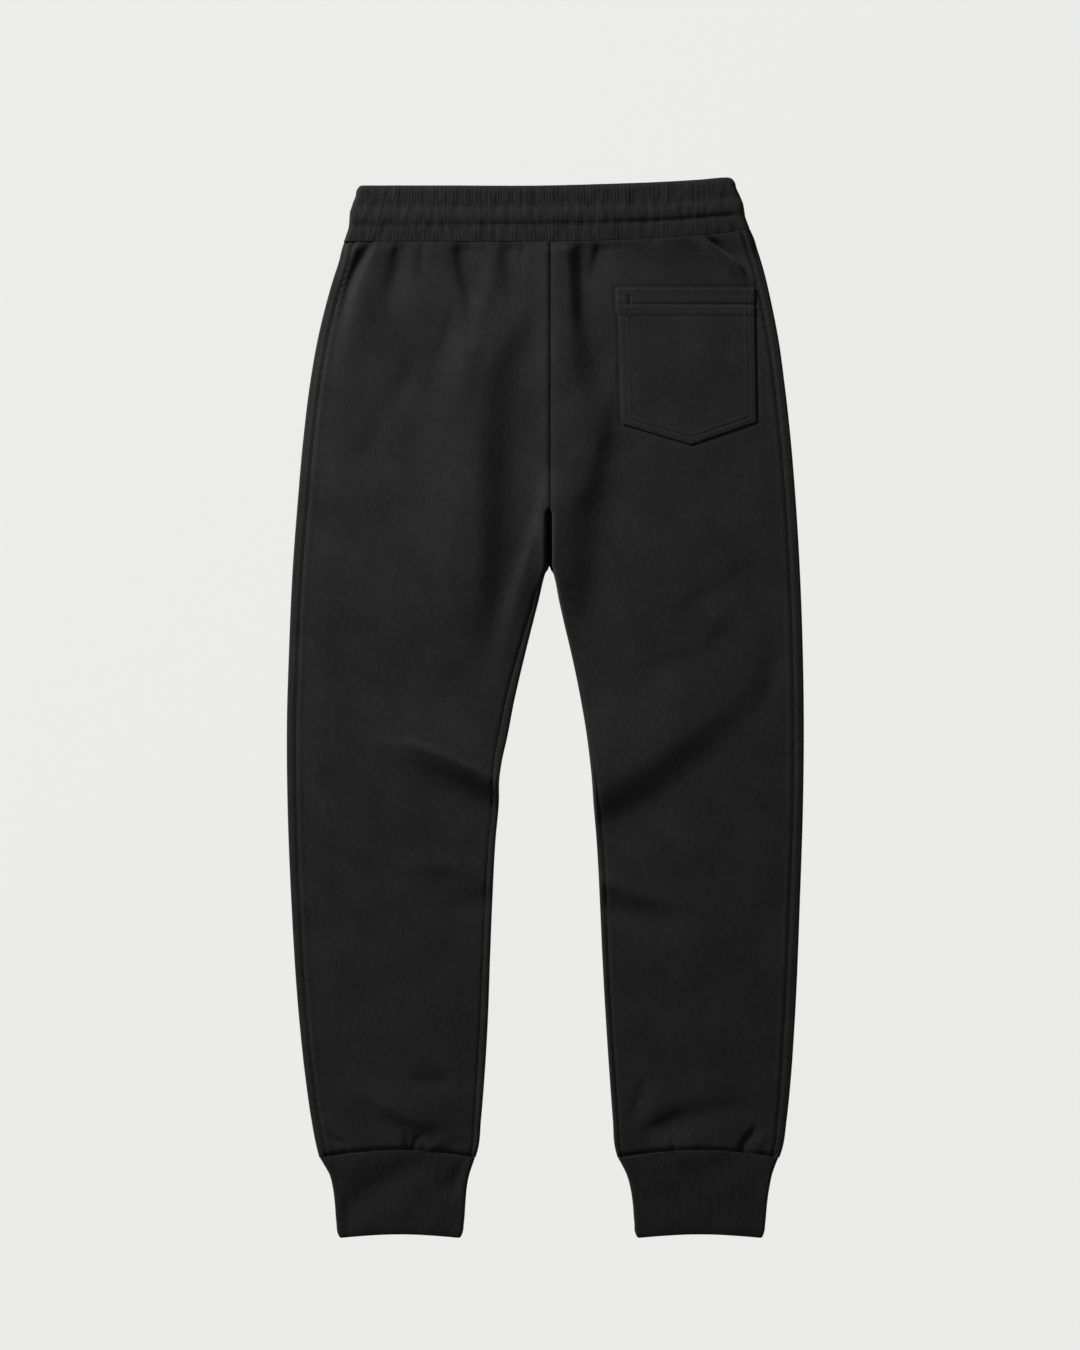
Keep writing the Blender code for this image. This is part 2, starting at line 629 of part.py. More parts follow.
def add_cuff(side, collection):
    outer_edge, inner_edge = side_name(side) + "_outer", side_name(side) + "_inner"

    def ring(along, inside):
        sides = sorted((CUFFS.at(outer_edge, along), CUFFS.at(inner_edge, along)))

        def down_at(x):
            across = min(max((x - sides[0]) / (sides[1] - sides[0]), 0.0), 1.0)
            hem = LENGTH - HEM_BOW * math.sin(math.pi * across)
            return mix(cuff_seam(side, x) + SEAM_GAP / 2, hem, along)

        rise = RIB_RISE * CUFFS.at("rib", along)
        height = CUFFS.at("height", along)
        at_rim = along in (0.0, 1.0)
        return ring_row(*sides, height, CUFF_WALL, CUFF_RIBS, rise, down_at, inside, at_rim)

    outer = [ring(along, False) for along in CUFFS.rows[:, 0]]
    inside = [ring(along, True) for along in CUFFS.rows[:, 0]]
    return add_wall(f"cuff_{side_name(side)}", outer, inside, True, RIB_KNIT, collection)


def pocket_row(v, columns, lift):
    """One row across the pocket, v of the way from its top to its foot, raised off the back panel."""
    row = []
    for step in range(columns + 1):
        u = step / columns
        left = mix(POCKET_TOP["left"], POCKET_CORNERS["left"], ease(v / 0.25))
        right = mix(POCKET_TOP["right"], POCKET_CORNERS["right"], v)
        point = POCKET_POINT["across"]
        slope = u / point if u < point else (1 - u) / (1 - point)
        corner = mix(POCKET_CORNERS["left_down"], POCKET_CORNERS["right_down"], u)
        bottom = mix(corner, POCKET_POINT["down"], slope)
        x, down = mix(left, right, u), mix(POCKET_TOP["down"], bottom, v)
        row.append((u, x, down, upper_height(1, x, down) + SEAM_GAP + lift))
    return row


def add_back_pocket(collection):
    below_hem = POCKET_HEM + 0.02
    places = [0.0, POCKET_HEM / 2, POCKET_HEM, below_hem] + list(np.linspace(0.3, 1.0, 7))
    lifts = [POCKET_CLOTH + (POCKET_HEM_RISE if v <= POCKET_HEM else 0.0) for v in places]
    outer = [pocket_row(v, 12, lift) for v, lift in zip(places, lifts)]
    inside = [pocket_row(v, 12, 0.0) for v in places]
    return add_wall("back_pocket", outer, inside, False, JERSEY, collection)


def clear_scene():
    for old in list(bpy.data.objects):
        bpy.data.objects.remove(old, do_unlink=True)


def main():
    clear_scene()
    collection = bpy.data.collections.new("jogger_sweatpants")
    bpy.context.scene.collection.children.link(collection)
    for side in (-1, 1):
        add_front_panel(side, collection)
        add_back_panel(side, collection)
        add_cuff(side, collection)
    add_waistband(collection)
    add_back_pocket(collection)


main()
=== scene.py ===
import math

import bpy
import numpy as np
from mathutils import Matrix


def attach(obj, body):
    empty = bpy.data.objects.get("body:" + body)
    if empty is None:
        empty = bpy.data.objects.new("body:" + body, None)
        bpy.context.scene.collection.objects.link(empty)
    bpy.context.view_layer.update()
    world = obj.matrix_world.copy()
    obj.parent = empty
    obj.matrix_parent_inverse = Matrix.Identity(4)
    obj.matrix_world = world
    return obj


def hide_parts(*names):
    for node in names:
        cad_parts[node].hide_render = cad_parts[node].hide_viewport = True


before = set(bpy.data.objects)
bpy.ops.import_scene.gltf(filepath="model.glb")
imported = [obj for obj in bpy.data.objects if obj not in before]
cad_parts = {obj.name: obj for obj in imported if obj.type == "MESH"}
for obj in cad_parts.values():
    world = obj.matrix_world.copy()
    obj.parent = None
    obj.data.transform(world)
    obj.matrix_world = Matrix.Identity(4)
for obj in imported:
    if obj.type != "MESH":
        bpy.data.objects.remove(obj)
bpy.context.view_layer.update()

# Jogger sweatpants laid flat, back side up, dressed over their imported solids.
# Metres, +Z up. The waist is towards +Y and the wearer's left leg at -X. Places on the cloth are x, from
# the middle of the overall width, and "down", from the top of the waistband. Every piece is a closed wall
# of cloth: an outer face with the folds, gathers, ribs and seams, and an inside one thickness below it.

# ---- Driving sizes, the same as the solids' ----
LENGTH = 1.037
FOLD_RADIUS = 0.0030
LOFT = 0.0019
MIDDLE_HEIGHT = 2 * FOLD_RADIUS + LOFT
CROTCH_RADIUS = FOLD_RADIUS + LOFT / 2
CENTRE = 0.0039
WAIST_DOWN = 0.0600
CROTCH_DOWN = 0.3804
LEG_END = 0.9584

SEAT_FOLD_TOP = 0.3200
SEAT_FOLD_OPEN = 0.3320
SEAT_FOLD_HALF = 0.0027
SEAT_FOLD_RADIUS = {"left": 0.0040, "right": 0.0030}
SEAT_FOLD_RIM = 0.0023

BAND_WALL = 0.0026
CUFF_WALL = 0.0024
LEAST_GAP = 0.0008
CUFF_BOW = 0.0073
HEM_BOW = 0.0035

# ---- The cloth, thinner than the solids' so that deep folds stay clear of the layer below ----
CLOTH = 0.0014
POCKET_CLOTH = 0.0010
LEAST_HEIGHT = 2 * CLOTH + 0.0002
SEAM_ROUND = 0.0004

# ---- How the laid legs fill: the distances in from an edge, or down, over which they change ----
LOFT_REACH = {"left": 0.036, "right": 0.090, "inner": 0.090}
CROTCH_CURL = 0.0055
CROTCH_FULLNESS = 0.070
WAIST_EASE = 0.060
ANKLE_START = 0.880
SLACK = {"rise": 0.00025, "size": 0.080}
NEAR_CENTRE = 0.045

# ---- Relief beside the seams: rises, and the widths over which they fade ----
WAIST_PUFF = {"left": 0.0021, "right": 0.0047, "width": 0.0180}
WAIST_HOLD = {"share": 0.35, "reach": 0.010}
CUFF_DIP = {"rise": -0.0020, "width": 0.0035}
SIDE_RIDGE = {"rise": 0.0004, "width": 0.0020, "in": 0.0042}
SIDE_GROOVE = {"rise": -0.0005, "width": 0.0018}
INSEAM_GROOVE = {"rise": -0.0009, "width": 0.0018}
SEAT_RIDGE = {"rise": 0.0010, "width": 0.0100}
SEAT_STEP = {"rise": -0.0010, "width": 0.0018}
SEAT_SINK = {"rise": -0.0009, "width": 0.0042}
PUCKER_PITCH = 0.0085
PUCKER_RISE = 0.00022
PUCKER_REACH = 0.0045

# ---- Ribs and gathers ----
# The band's face is the part between its two rounded rims. A pull is a rise, its size, its slant and
# its seed.
BAND_HEIGHT = 0.0550
BAND_FACE = 0.0545
BAND_RIB_PITCH = 0.0036
BAND_RIB_RISE = 0.00042
BAND_LEAN = {"left": 0.30, "right": 0.15}
BAND_PULLS = ((0.00022, 0.010, 0.020, 25), (0.00026, 0.026, 0.030, 26))
BAND_GROOVE = {"rise": -0.0004, "width": 0.043, "share": 0.686}
CUFF_HEIGHT = 0.0780
CUFF_WIDTH = 0.150
CUFF_RIB_PITCH = 0.0025
CUFF_RIB_RISE = 0.00008
CUFF_SLACK = {"rise": 0.00035, "size": 0.040}

# ---- Stitches ----
THREAD_RADIUS = 0.00028
STITCH_LENGTH = 0.0025
STITCH_PITCH = 0.0032
BAND_STITCH_LINES = (0.335, 0.695)
BAND_STITCH_END = 0.006


class Table:
    """Rows of named columns, read on a smooth curve through them. The first column is the place."""

    def __init__(self, columns, rows):
        self.columns = columns.split()
        self.rows = np.array(rows)
        self.slopes = np.gradient(self.rows, self.rows[:, 0], axis=0)

    def at(self, name, place):
        column = self.columns.index(name)
        places = self.rows[:, 0]
        above = np.clip(np.searchsorted(places, place) - 1, 0, len(places) - 2)
        span = places[above + 1] - places[above]
        t = np.clip((place - places[above]) / span, 0.0, 1.0)
        start, end = self.rows[above, column], self.rows[above + 1, column]
        leaving, arriving = self.slopes[above, column] * span, self.slopes[above + 1, column] * span
        return (
            start * (1 + 2 * t) * (1 - t) ** 2
            + leaving * t * (1 - t) ** 2
            + end * t**2 * (3 - 2 * t)
            + arriving * t**2 * (t - 1)
        )


# The outer edges of the laid trousers, from the waist seam to the cuffs.
EDGES = Table("down left right", (
    (0.0490, -0.1925, 0.1998),
    (0.0587, -0.1957, 0.2042),
    (0.0700, -0.1994, 0.2077),
    (0.0800, -0.2018, 0.2109),
    (0.0998, -0.2081, 0.2163),
    (0.1193, -0.2137, 0.2207),
    (0.1584, -0.2231, 0.2284),
    (0.1976, -0.2300, 0.2338),
    (0.2562, -0.2372, 0.2403),
    (0.3149, -0.2424, 0.2451),
    (0.3736, -0.2469, 0.2487),
    (0.4714, -0.2514, 0.2523),
    (0.5300, -0.2531, 0.2531),
    (0.6083, -0.2526, 0.2524),
    (0.7061, -0.2489, 0.2493),
    (0.8235, -0.2411, 0.2443),
    (0.8822, -0.2348, 0.2403),
    (0.9213, -0.2292, 0.2363),
    (0.9506, -0.2235, 0.2318),
    (0.9600, -0.2210, 0.2286),
))

# The inner edges of the legs, from the crotch to the cuffs.
INNER = Table("down left right", (
    (0.3804, 0.0012, 0.0066),
    (0.3853, 0.0003, 0.0074),
    (0.3932, -0.0019, 0.0094),
    (0.4127, -0.0064, 0.0131),
    (0.4323, -0.0114, 0.0175),
    (0.4714, -0.0211, 0.0267),
    (0.5105, -0.0302, 0.0346),
    (0.5496, -0.0378, 0.0410),
    (0.5692, -0.0422, 0.0434),
    (0.5887, -0.0450, 0.0454),
    (0.6083, -0.0453, 0.0467),
    (0.6474, -0.0487, 0.0500),
    (0.7061, -0.0518, 0.0532),
    (0.7648, -0.0541, 0.0558),
    (0.8235, -0.0562, 0.0591),
    (0.8822, -0.0597, 0.0630),
    (0.9213, -0.0629, 0.0659),
    (0.9506, -0.0660, 0.0684),
    (0.9600, -0.0688, 0.0710),
))

# How far in from each pressed fold the seam between front and back panel lies on the upper side.
INSETS = Table("down left right left_inner right_inner", (
    (0.0560, 0.0100, 0.0100, 0.0000, 0.0000),
    (0.3860, 0.0100, 0.0100, 0.0000, 0.0000),
    (0.3930, 0.0099, 0.0100, 0.0024, 0.0001),
    (0.4040, 0.0099, 0.0100, 0.0042, 0.0002),
    (0.4230, 0.0098, 0.0100, 0.0050, 0.0003),
    (0.4910, 0.0094, 0.0100, 0.0080, 0.0010),
    (0.5450, 0.0092, 0.0098, 0.0086, 0.0020),
    (0.6000, 0.0090, 0.0096, 0.0062, 0.0050),
    (0.6450, 0.0089, 0.0096, 0.0066, 0.0064),
    (0.7600, 0.0087, 0.0100, 0.0070, 0.0060),
    (0.8600, 0.0086, 0.0100, 0.0076, 0.0060),
    (0.9600, 0.0085, 0.0080, 0.0056, 0.0056),
))

# The waistband's two long edges: its top, and the seam where it is sewn to the panels.
BAND_LINES = Table("x top seam", (
    (-0.2000, 0.0078, 0.0628),
    (-0.1000, 0.0078, 0.0630),
    (0.0000, 0.0078, 0.0629),
    (0.0600, 0.0062, 0.0617),
    (0.1100, 0.0044, 0.0600),
    (0.1500, 0.0021, 0.0570),
    (0.1780, 0.0000, 0.0541),
    (0.2010, 0.0021, 0.0500),
))

# Across the waistband from top to seam: its sides, its height and how strongly its gathers stand out. It
# has a ribbed strip, a trough, the full tunnel of the elastic, a sewn groove and a second ribbed strip.
BAND = Table("across left right height rib", (
    (0.00, -0.1816, 0.1820, 0.0100, 0.4),
    (0.05, -0.1838, 0.1845, 0.0111, 0.8),
    (0.20, -0.1860, 0.1872, 0.0114, 0.9),
    (0.30, -0.1883, 0.1898, 0.0110, 0.8),
    (0.34, -0.1890, 0.1907, 0.0108, 0.6),
    (0.40, -0.1901, 0.1920, 0.0110, 0.5),
    (0.46, -0.1912, 0.1932, 0.0116, 0.5),
    (0.52, -0.1915, 0.1939, 0.0119, 0.5),
    (0.58, -0.1917, 0.1944, 0.0118, 0.5),
    (0.65, -0.1920, 0.1949, 0.0111, 0.4),
    (0.69, -0.1922, 0.1952, 0.0104, 0.3),
    (0.73, -0.1925, 0.1955, 0.0100, 0.4),
    (0.78, -0.1932, 0.1963, 0.0100, 0.6),
    (0.85, -0.1945, 0.1975, 0.0099, 0.7),
    (0.94, -0.1962, 0.1991, 0.0096, 0.7),
    (1.00, -0.1976, 0.2001, 0.0092, 0.6),
))

# Along each cuff from its seam to its hem.
CUFFS = Table("along left_outer left_inner right_inner right_outer height rib", (
    (0.00, -0.2209, -0.0688, 0.0708, 0.2282, 0.0068, 0.6),
    (0.08, -0.2175, -0.0709, 0.0741, 0.2257, 0.0071, 0.9),
    (0.23, -0.2113, -0.0746, 0.0796, 0.2218, 0.0069, 1.0),
    (0.38, -0.2083, -0.0768, 0.0829, 0.2194, 0.0067, 1.0),
    (0.58, -0.2062, -0.0782, 0.0854, 0.2171, 0.0068, 1.0),
    (0.81, -0.2047, -0.0796, 0.0869, 0.2154, 0.0072, 1.0),
    (0.96, -0.2029, -0.0816, 0.0884, 0.2135, 0.0070, 0.8),
    (1.00, -0.2012, -0.0833, 0.0902, 0.2120, 0.0064, 0.5),
))

# Soft hollows across the cuffs, written as the creases below are.
CUFF_CREASES = (
    (
        (-0.1226, 0.9633, 0.0170, 0.0140, -0.0018),
        (-0.1569, 0.9829, 0.0170, 0.0140, -0.0022),
        (-0.1960, 1.0113, 0.0170, 0.0140, -0.0020),
    ),
    (
        (-0.0542, 0.9662, 0.0130, 0.0140, -0.0024),
        (-0.0884, 0.9838, 0.0130, 0.0140, -0.0024),
        (-0.1129, 0.9976, 0.0130, 0.0140, 0.0000),
    ),
    (
        (0.1854, 0.9584, 0.0160, 0.0140, -0.0012),
        (0.1512, 0.9721, 0.0160, 0.0140, -0.0009),
        (0.1072, 0.9858, 0.0160, 0.0140, 0.0000),
    ),
)

# Creases in the upper layer. Each is a line of (x, down, half width on its plus side,
# half width on its other side, rise). The plus side is to the right of a line that runs down, and above
# one that runs to the right.
CREASES = (
    # Left seat: a long soft fold down to the thigh, steep on the side of the seam.
    (
        (-0.0131, 0.1154, 0.0120, 0.0300, 0.0000),
        (-0.0297, 0.1369, 0.0180, 0.0320, 0.0028),
        (-0.0542, 0.1780, 0.0240, 0.0360, 0.0062),
        (-0.0669, 0.2269, 0.0270, 0.0380, 0.0078),
        (-0.0698, 0.2758, 0.0260, 0.0420, 0.0090),
        (-0.0689, 0.3267, 0.0240, 0.0460, 0.0108),
        (-0.0679, 0.3736, 0.0220, 0.0480, 0.0104),
        (-0.0689, 0.4127, 0.0220, 0.0460, 0.0066),
        (-0.0728, 0.4518, 0.0240, 0.0460, 0.0022),
        (-0.0796, 0.4910, 0.0260, 0.0460, 0.0000),
    ),
    (
        (-0.0190, 0.1487, 0.0160, 0.0160, 0.0000),
        (-0.0278, 0.1878, 0.0180, 0.0180, -0.0012),
        (-0.0317, 0.2269, 0.0200, 0.0180, -0.0016),
        (-0.0317, 0.2758, 0.0200, 0.0180, -0.0016),
        (-0.0307, 0.3149, 0.0180, 0.0180, -0.0012),
        (-0.0327, 0.3540, 0.0160, 0.0160, 0.0000),
    ),
    # A ridge beside the crotch, along the left leg's inner edge.
    (
        (0.0045, 0.2836, 0.0090, 0.0080, 0.0000),
        (0.0016, 0.3051, 0.0100, 0.0070, 0.0014),
        (-0.0053, 0.3345, 0.0130, 0.0070, 0.0030),
        (-0.0136, 0.3638, 0.0150, 0.0075, 0.0042),
        (-0.0229, 0.3951, 0.0160, 0.0085, 0.0042),
        (-0.0336, 0.4372, 0.0160, 0.0110, 0.0030),
        (-0.0434, 0.5007, 0.0140, 0.0140, 0.0012),
        (-0.0503, 0.5496, 0.0120, 0.0140, 0.0000),
    ),
    # Left hip: slack hollows that lean towards the side.
    (
        (-0.1236, 0.1633, 0.0100, 0.0100, 0.0000),
        (-0.1314, 0.1878, 0.0110, 0.0110, -0.0015),
        (-0.1461, 0.2171, 0.0130, 0.0120, -0.0012),
        (-0.1627, 0.2445, 0.0140, 0.0130, -0.0013),
        (-0.1745, 0.2719, 0.0150, 0.0130, -0.0011),
        (-0.1872, 0.3090, 0.0140, 0.0120, 0.0000),
    ),
    (
        (-0.0874, 0.1174, 0.0120, 0.0080, 0.0000),
        (-0.0923, 0.1428, 0.0140, 0.0080, -0.0014),
        (-0.0982, 0.1663, 0.0140, 0.0080, -0.0014),
        (-0.1099, 0.1917, 0.0140, 0.0090, 0.0000),
    ),
    # Left hip and thigh: the leg is fullest along its outer half.
    (
        (-0.1471, 0.0900, 0.0500, 0.0500, 0.0000),
        (-0.1500, 0.1389, 0.0550, 0.0550, 0.0020),
        (-0.1520, 0.2171, 0.0550, 0.0600, 0.0024),
        (-0.1500, 0.3149, 0.0550, 0.0600, 0.0022),
        (-0.1461, 0.4127, 0.0550, 0.0600, 0.0022),
        (-0.1422, 0.4910, 0.0500, 0.0500, 0.0000),
    ),
    # Left waist corner: a hollow beside the side seam, with a long ridge next to it.
    (
        (-0.1676, 0.0577, 0.0060, 0.0050, -0.0024),
        (-0.1735, 0.0685, 0.0060, 0.0050, -0.0029),
        (-0.1813, 0.0812, 0.0060, 0.0050, -0.0029),
        (-0.1882, 0.0958, 0.0060, 0.0050, -0.0028),
        (-0.1931, 0.1115, 0.0060, 0.0055, -0.0026),
        (-0.1960, 0.1271, 0.0070, 0.0060, -0.0020),
        (-0.2019, 0.1506, 0.0080, 0.0080, 0.0000),
    ),
    (
        (-0.1637, 0.0606, 0.0024, 0.0024, 0.0010),
        (-0.1686, 0.0704, 0.0026, 0.0026, 0.0010),
        (-0.1735, 0.0812, 0.0030, 0.0030, 0.0000),
    ),
    (
        (-0.1784, 0.0606, 0.0040, 0.0050, 0.0005),
        (-0.1872, 0.0724, 0.0040, 0.0050, 0.0009),
        (-0.1940, 0.0861, 0.0035, 0.0050, 0.0009),
        (-0.1989, 0.1017, 0.0035, 0.0050, 0.0007),
        (-0.2038, 0.1213, 0.0040, 0.0050, 0.0000),
    ),
    (
        (-0.1559, 0.0587, 0.0160, 0.0050, 0.0007),
        (-0.1667, 0.0743, 0.0200, 0.0050, 0.0015),
        (-0.1745, 0.0890, 0.0220, 0.0055, 0.0023),
        (-0.1813, 0.1046, 0.0240, 0.0065, 0.0032),
        (-0.1862, 0.1242, 0.0230, 0.0080, 0.0032),
        (-0.1931, 0.1565, 0.0180, 0.0100, 0.0022),
        (-0.1989, 0.1878, 0.0150, 0.0100, 0.0008),
        (-0.2038, 0.2269, 0.0150, 0.0110, 0.0000),
    ),
    (
        (-0.1373, 0.0587, 0.0100, 0.0080, -0.0016),
        (-0.1422, 0.0782, 0.0100, 0.0080, -0.0028),
        (-0.1481, 0.1046, 0.0120, 0.0090, -0.0026),
        (-0.1539, 0.1330, 0.0130, 0.0100, 0.0000),
    ),
    # Gathers at the waist seam, left of the seat seam.
    (
        (-0.1432, 0.0597, 0.0030, 0.0030, -0.0008),
        (-0.1461, 0.0724, 0.0030, 0.0030, -0.0006),
        (-0.1500, 0.0861, 0.0040, 0.0040, 0.0000),
    ),
    (
        (-0.1314, 0.0597, 0.0040, 0.0040, 0.0007),
        (-0.1334, 0.0822, 0.0050, 0.0050, 0.0000),
    ),
    (
        (-0.1187, 0.0597, 0.0040, 0.0040, -0.0013),
        (-0.1207, 0.0782, 0.0050, 0.0050, -0.0010),
        (-0.1226, 0.1037, 0.0060, 0.0060, 0.0000),
    ),
    (
        (-0.1070, 0.0597, 0.0040, 0.0040, -0.0008),
        (-0.1089, 0.0763, 0.0040, 0.0040, 0.0000),
    ),
    (
        (-0.0835, 0.0587, 0.0140, 0.0070, -0.0036),
        (-0.0816, 0.0782, 0.0150, 0.0070, -0.0036),
        (-0.0767, 0.1037, 0.0160, 0.0070, -0.0030),
        (-0.0728, 0.1311, 0.0160, 0.0070, -0.0018),
        (-0.0708, 0.1633, 0.0160, 0.0080, 0.0000),
    ),
    (
        (-0.0483, 0.0587, 0.0070, 0.0080, 0.0000),
        (-0.0512, 0.0822, 0.0080, 0.0080, 0.0008),
        (-0.0571, 0.1095, 0.0090, 0.0090, 0.0014),
        (-0.0649, 0.1438, 0.0100, 0.0120, 0.0017),
        (-0.0767, 0.1829, 0.0110, 0.0150, 0.0017),
        (-0.0894, 0.2220, 0.0140, 0.0180, 0.0011),
        (-0.1050, 0.2660, 0.0160, 0.0200, 0.0000),
    ),
    (
        (-0.0366, 0.0587, 0.0120, 0.0070, -0.0024),
        (-0.0366, 0.0763, 0.0120, 0.0075, -0.0024),
        (-0.0346, 0.0998, 0.0120, 0.0080, -0.0022),
        (-0.0317, 0.1350, 0.0120, 0.0080, 0.0000),
    ),
    (
        (-0.0219, 0.0587, 0.0040, 0.0030, -0.0016),
        (-0.0219, 0.0704, 0.0040, 0.0030, -0.0010),
        (-0.0219, 0.0822, 0.0040, 0.0030, 0.0000),
    ),
    (
        (-0.0102, 0.0587, 0.0030, 0.0030, -0.0010),
        (-0.0111, 0.0743, 0.0030, 0.0030, 0.0000),
    ),
    # Right seat: a narrow fold from the waist that widens down to the crotch, and the hollow beside it.
    (
        (0.0192, 0.0606, 0.0070, 0.0220, 0.0018),
        (0.0201, 0.0763, 0.0070, 0.0300, 0.0030),
        (0.0211, 0.1095, 0.0080, 0.0340, 0.0032),
        (0.0231, 0.1389, 0.0100, 0.0320, 0.0032),
        (0.0241, 0.1682, 0.0170, 0.0300, 0.0042),
        (0.0280, 0.1976, 0.0190, 0.0380, 0.0048),
        (0.0358, 0.2269, 0.0180, 0.0420, 0.0036),
        (0.0436, 0.2562, 0.0160, 0.0360, 0.0014),
        (0.0475, 0.2836, 0.0160, 0.0300, 0.0000),
    ),
    (
        (0.0348, 0.0587, 0.0160, 0.0060, -0.0020),
        (0.0358, 0.0763, 0.0180, 0.0065, -0.0032),
        (0.0368, 0.1095, 0.0220, 0.0070, -0.0030),
        (0.0387, 0.1389, 0.0220, 0.0100, -0.0030),
        (0.0505, 0.1682, 0.0260, 0.0190, -0.0034),
        (0.0583, 0.1976, 0.0220, 0.0240, -0.0032),
        (0.0632, 0.2220, 0.0160, 0.0220, -0.0020),
        (0.0651, 0.2484, 0.0120, 0.0120, 0.0000),
    ),
    (
        (0.0700, 0.1584, 0.0050, 0.0080, 0.0000),
        (0.0671, 0.1829, 0.0050, 0.0100, 0.0006),
        (0.0612, 0.2093, 0.0080, 0.0220, 0.0015),
        (0.0534, 0.2416, 0.0120, 0.0360, 0.0033),
        (0.0446, 0.2709, 0.0160, 0.0460, 0.0042),
        (0.0358, 0.2973, 0.0200, 0.0420, 0.0050),
        (0.0153, 0.3218, 0.0260, 0.0210, 0.0072),
        (0.0084, 0.3540, 0.0280, 0.0140, 0.0086),
        (0.0113, 0.3883, 0.0260, 0.0140, 0.0074),
        (0.0211, 0.4225, 0.0200, 0.0140, 0.0032),
        (0.0319, 0.4616, 0.0150, 0.0140, 0.0000),
    ),
    (
        (0.0690, 0.2465, 0.0220, 0.0160, 0.0000),
        (0.0612, 0.2954, 0.0320, 0.0190, -0.0020),
        (0.0554, 0.3491, 0.0340, 0.0200, -0.0030),
        (0.0554, 0.3980, 0.0300, 0.0200, -0.0024),
        (0.0583, 0.4421, 0.0240, 0.0160, 0.0000),
    ),
    # Gathers at the waist seam, right of the seat seam.
    (
        (0.0534, 0.0567, 0.0260, 0.0050, -0.0030),
        (0.0514, 0.0743, 0.0260, 0.0050, -0.0030),
        (0.0485, 0.0900, 0.0220, 0.0050, -0.0014),
        (0.0456, 0.1056, 0.0180, 0.0050, 0.0000),
    ),
    (
        (0.0387, 0.0587, 0.0030, 0.0030, -0.0012),
        (0.0368, 0.0724, 0.0030, 0.0030, 0.0000),
    ),
    (
        (0.0602, 0.0567, 0.0030, 0.0030, -0.0010),
        (0.0583, 0.0724, 0.0040, 0.0040, 0.0000),
    ),
    (
        (0.0749, 0.0567, 0.0040, 0.0040, -0.0007),
        (0.0730, 0.0724, 0.0040, 0.0040, 0.0000),
    ),
    (
        (0.1072, 0.0548, 0.0030, 0.0030, -0.0013),
        (0.1043, 0.0685, 0.0030, 0.0030, 0.0000),
    ),
    (
        (0.1160, 0.0548, 0.0040, 0.0040, 0.0005),
        (0.1140, 0.0685, 0.0040, 0.0040, 0.0000),
    ),
    # Right waist corner: a curved fold from the seam to the side, and slack below it.
    (
        (0.1532, 0.0597, 0.0032, 0.0090, 0.0018),
        (0.1629, 0.0675, 0.0032, 0.0100, 0.0030),
        (0.1737, 0.0753, 0.0032, 0.0100, 0.0034),
        (0.1845, 0.0831, 0.0032, 0.0100, 0.0030),
        (0.1923, 0.0919, 0.0034, 0.0090, 0.0020),
        (0.1981, 0.1056, 0.0040, 0.0080, 0.0000),
    ),
    (
        (0.1561, 0.0557, 0.0040, 0.0032, -0.0032),
        (0.1659, 0.0631, 0.0040, 0.0032, -0.0046),
        (0.1766, 0.0709, 0.0040, 0.0032, -0.0050),
        (0.1874, 0.0792, 0.0040, 0.0032, -0.0044),
        (0.1952, 0.0885, 0.0040, 0.0034, -0.0026),
        (0.2011, 0.1027, 0.0050, 0.0040, 0.0000),
    ),
    (
        (0.1571, 0.0694, 0.0040, 0.0032, 0.0008),
        (0.1668, 0.0782, 0.0040, 0.0034, 0.0018),
        (0.1776, 0.0870, 0.0040, 0.0045, 0.0014),
        (0.1874, 0.0968, 0.0040, 0.0050, 0.0000),
    ),
    (
        (0.1277, 0.0606, 0.0090, 0.0090, -0.0008),
        (0.1444, 0.0724, 0.0090, 0.0090, -0.0016),
        (0.1610, 0.0841, 0.0100, 0.0100, -0.0013),
        (0.1766, 0.0958, 0.0100, 0.0100, 0.0000),
    ),
    # Right thigh: soft hollows that lead up from the knee to the side.
    (
        (0.1297, 0.4342, 0.0090, 0.0130, 0.0000),
        (0.1453, 0.4166, 0.0090, 0.0140, -0.0012),
        (0.1688, 0.4020, 0.0090, 0.0140, -0.0012),
        (0.1923, 0.3873, 0.0090, 0.0140, -0.0009),
        (0.2079, 0.3697, 0.0100, 0.0120, 0.0000),
    ),
    (
        (0.0925, 0.4988, 0.0100, 0.0140, 0.0000),
        (0.1101, 0.4822, 0.0100, 0.0150, -0.0011),
        (0.1395, 0.4714, 0.0100, 0.0150, -0.0010),
        (0.1620, 0.4616, 0.0100, 0.0150, -0.0012),
        (0.1776, 0.4421, 0.0100, 0.0140, -0.0012),
        (0.1903, 0.4186, 0.0100, 0.0120, 0.0000),
    ),
    (
        (0.2236, 0.4245, 0.0120, 0.0120, 0.0000),
        (0.2245, 0.4597, 0.0120, 0.0130, -0.0012),
        (0.2216, 0.4929, 0.0120, 0.0130, -0.0017),
        (0.2128, 0.5183, 0.0120, 0.0130, -0.0013),
        (0.1962, 0.5418, 0.0120, 0.0120, 0.0000),
    ),
    # Left knee: a fold to the inner edge, steep below, and the hollow under it.
    (
        (-0.2009, 0.5399, 0.0400, 0.0150, 0.0000),
        (-0.1539, 0.5506, 0.0440, 0.0140, 0.0020),
        (-0.1305, 0.5575, 0.0440, 0.0130, 0.0046),
        (-0.1070, 0.5653, 0.0420, 0.0130, 0.0074),
        (-0.0796, 0.5770, 0.0400, 0.0130, 0.0098),
        (-0.0522, 0.5897, 0.0380, 0.0130, 0.0102),
        (-0.0248, 0.6015, 0.0360, 0.0130, 0.0102),
    ),
    (
        (-0.1500, 0.5516, 0.0050, 0.0040, 0.0000),
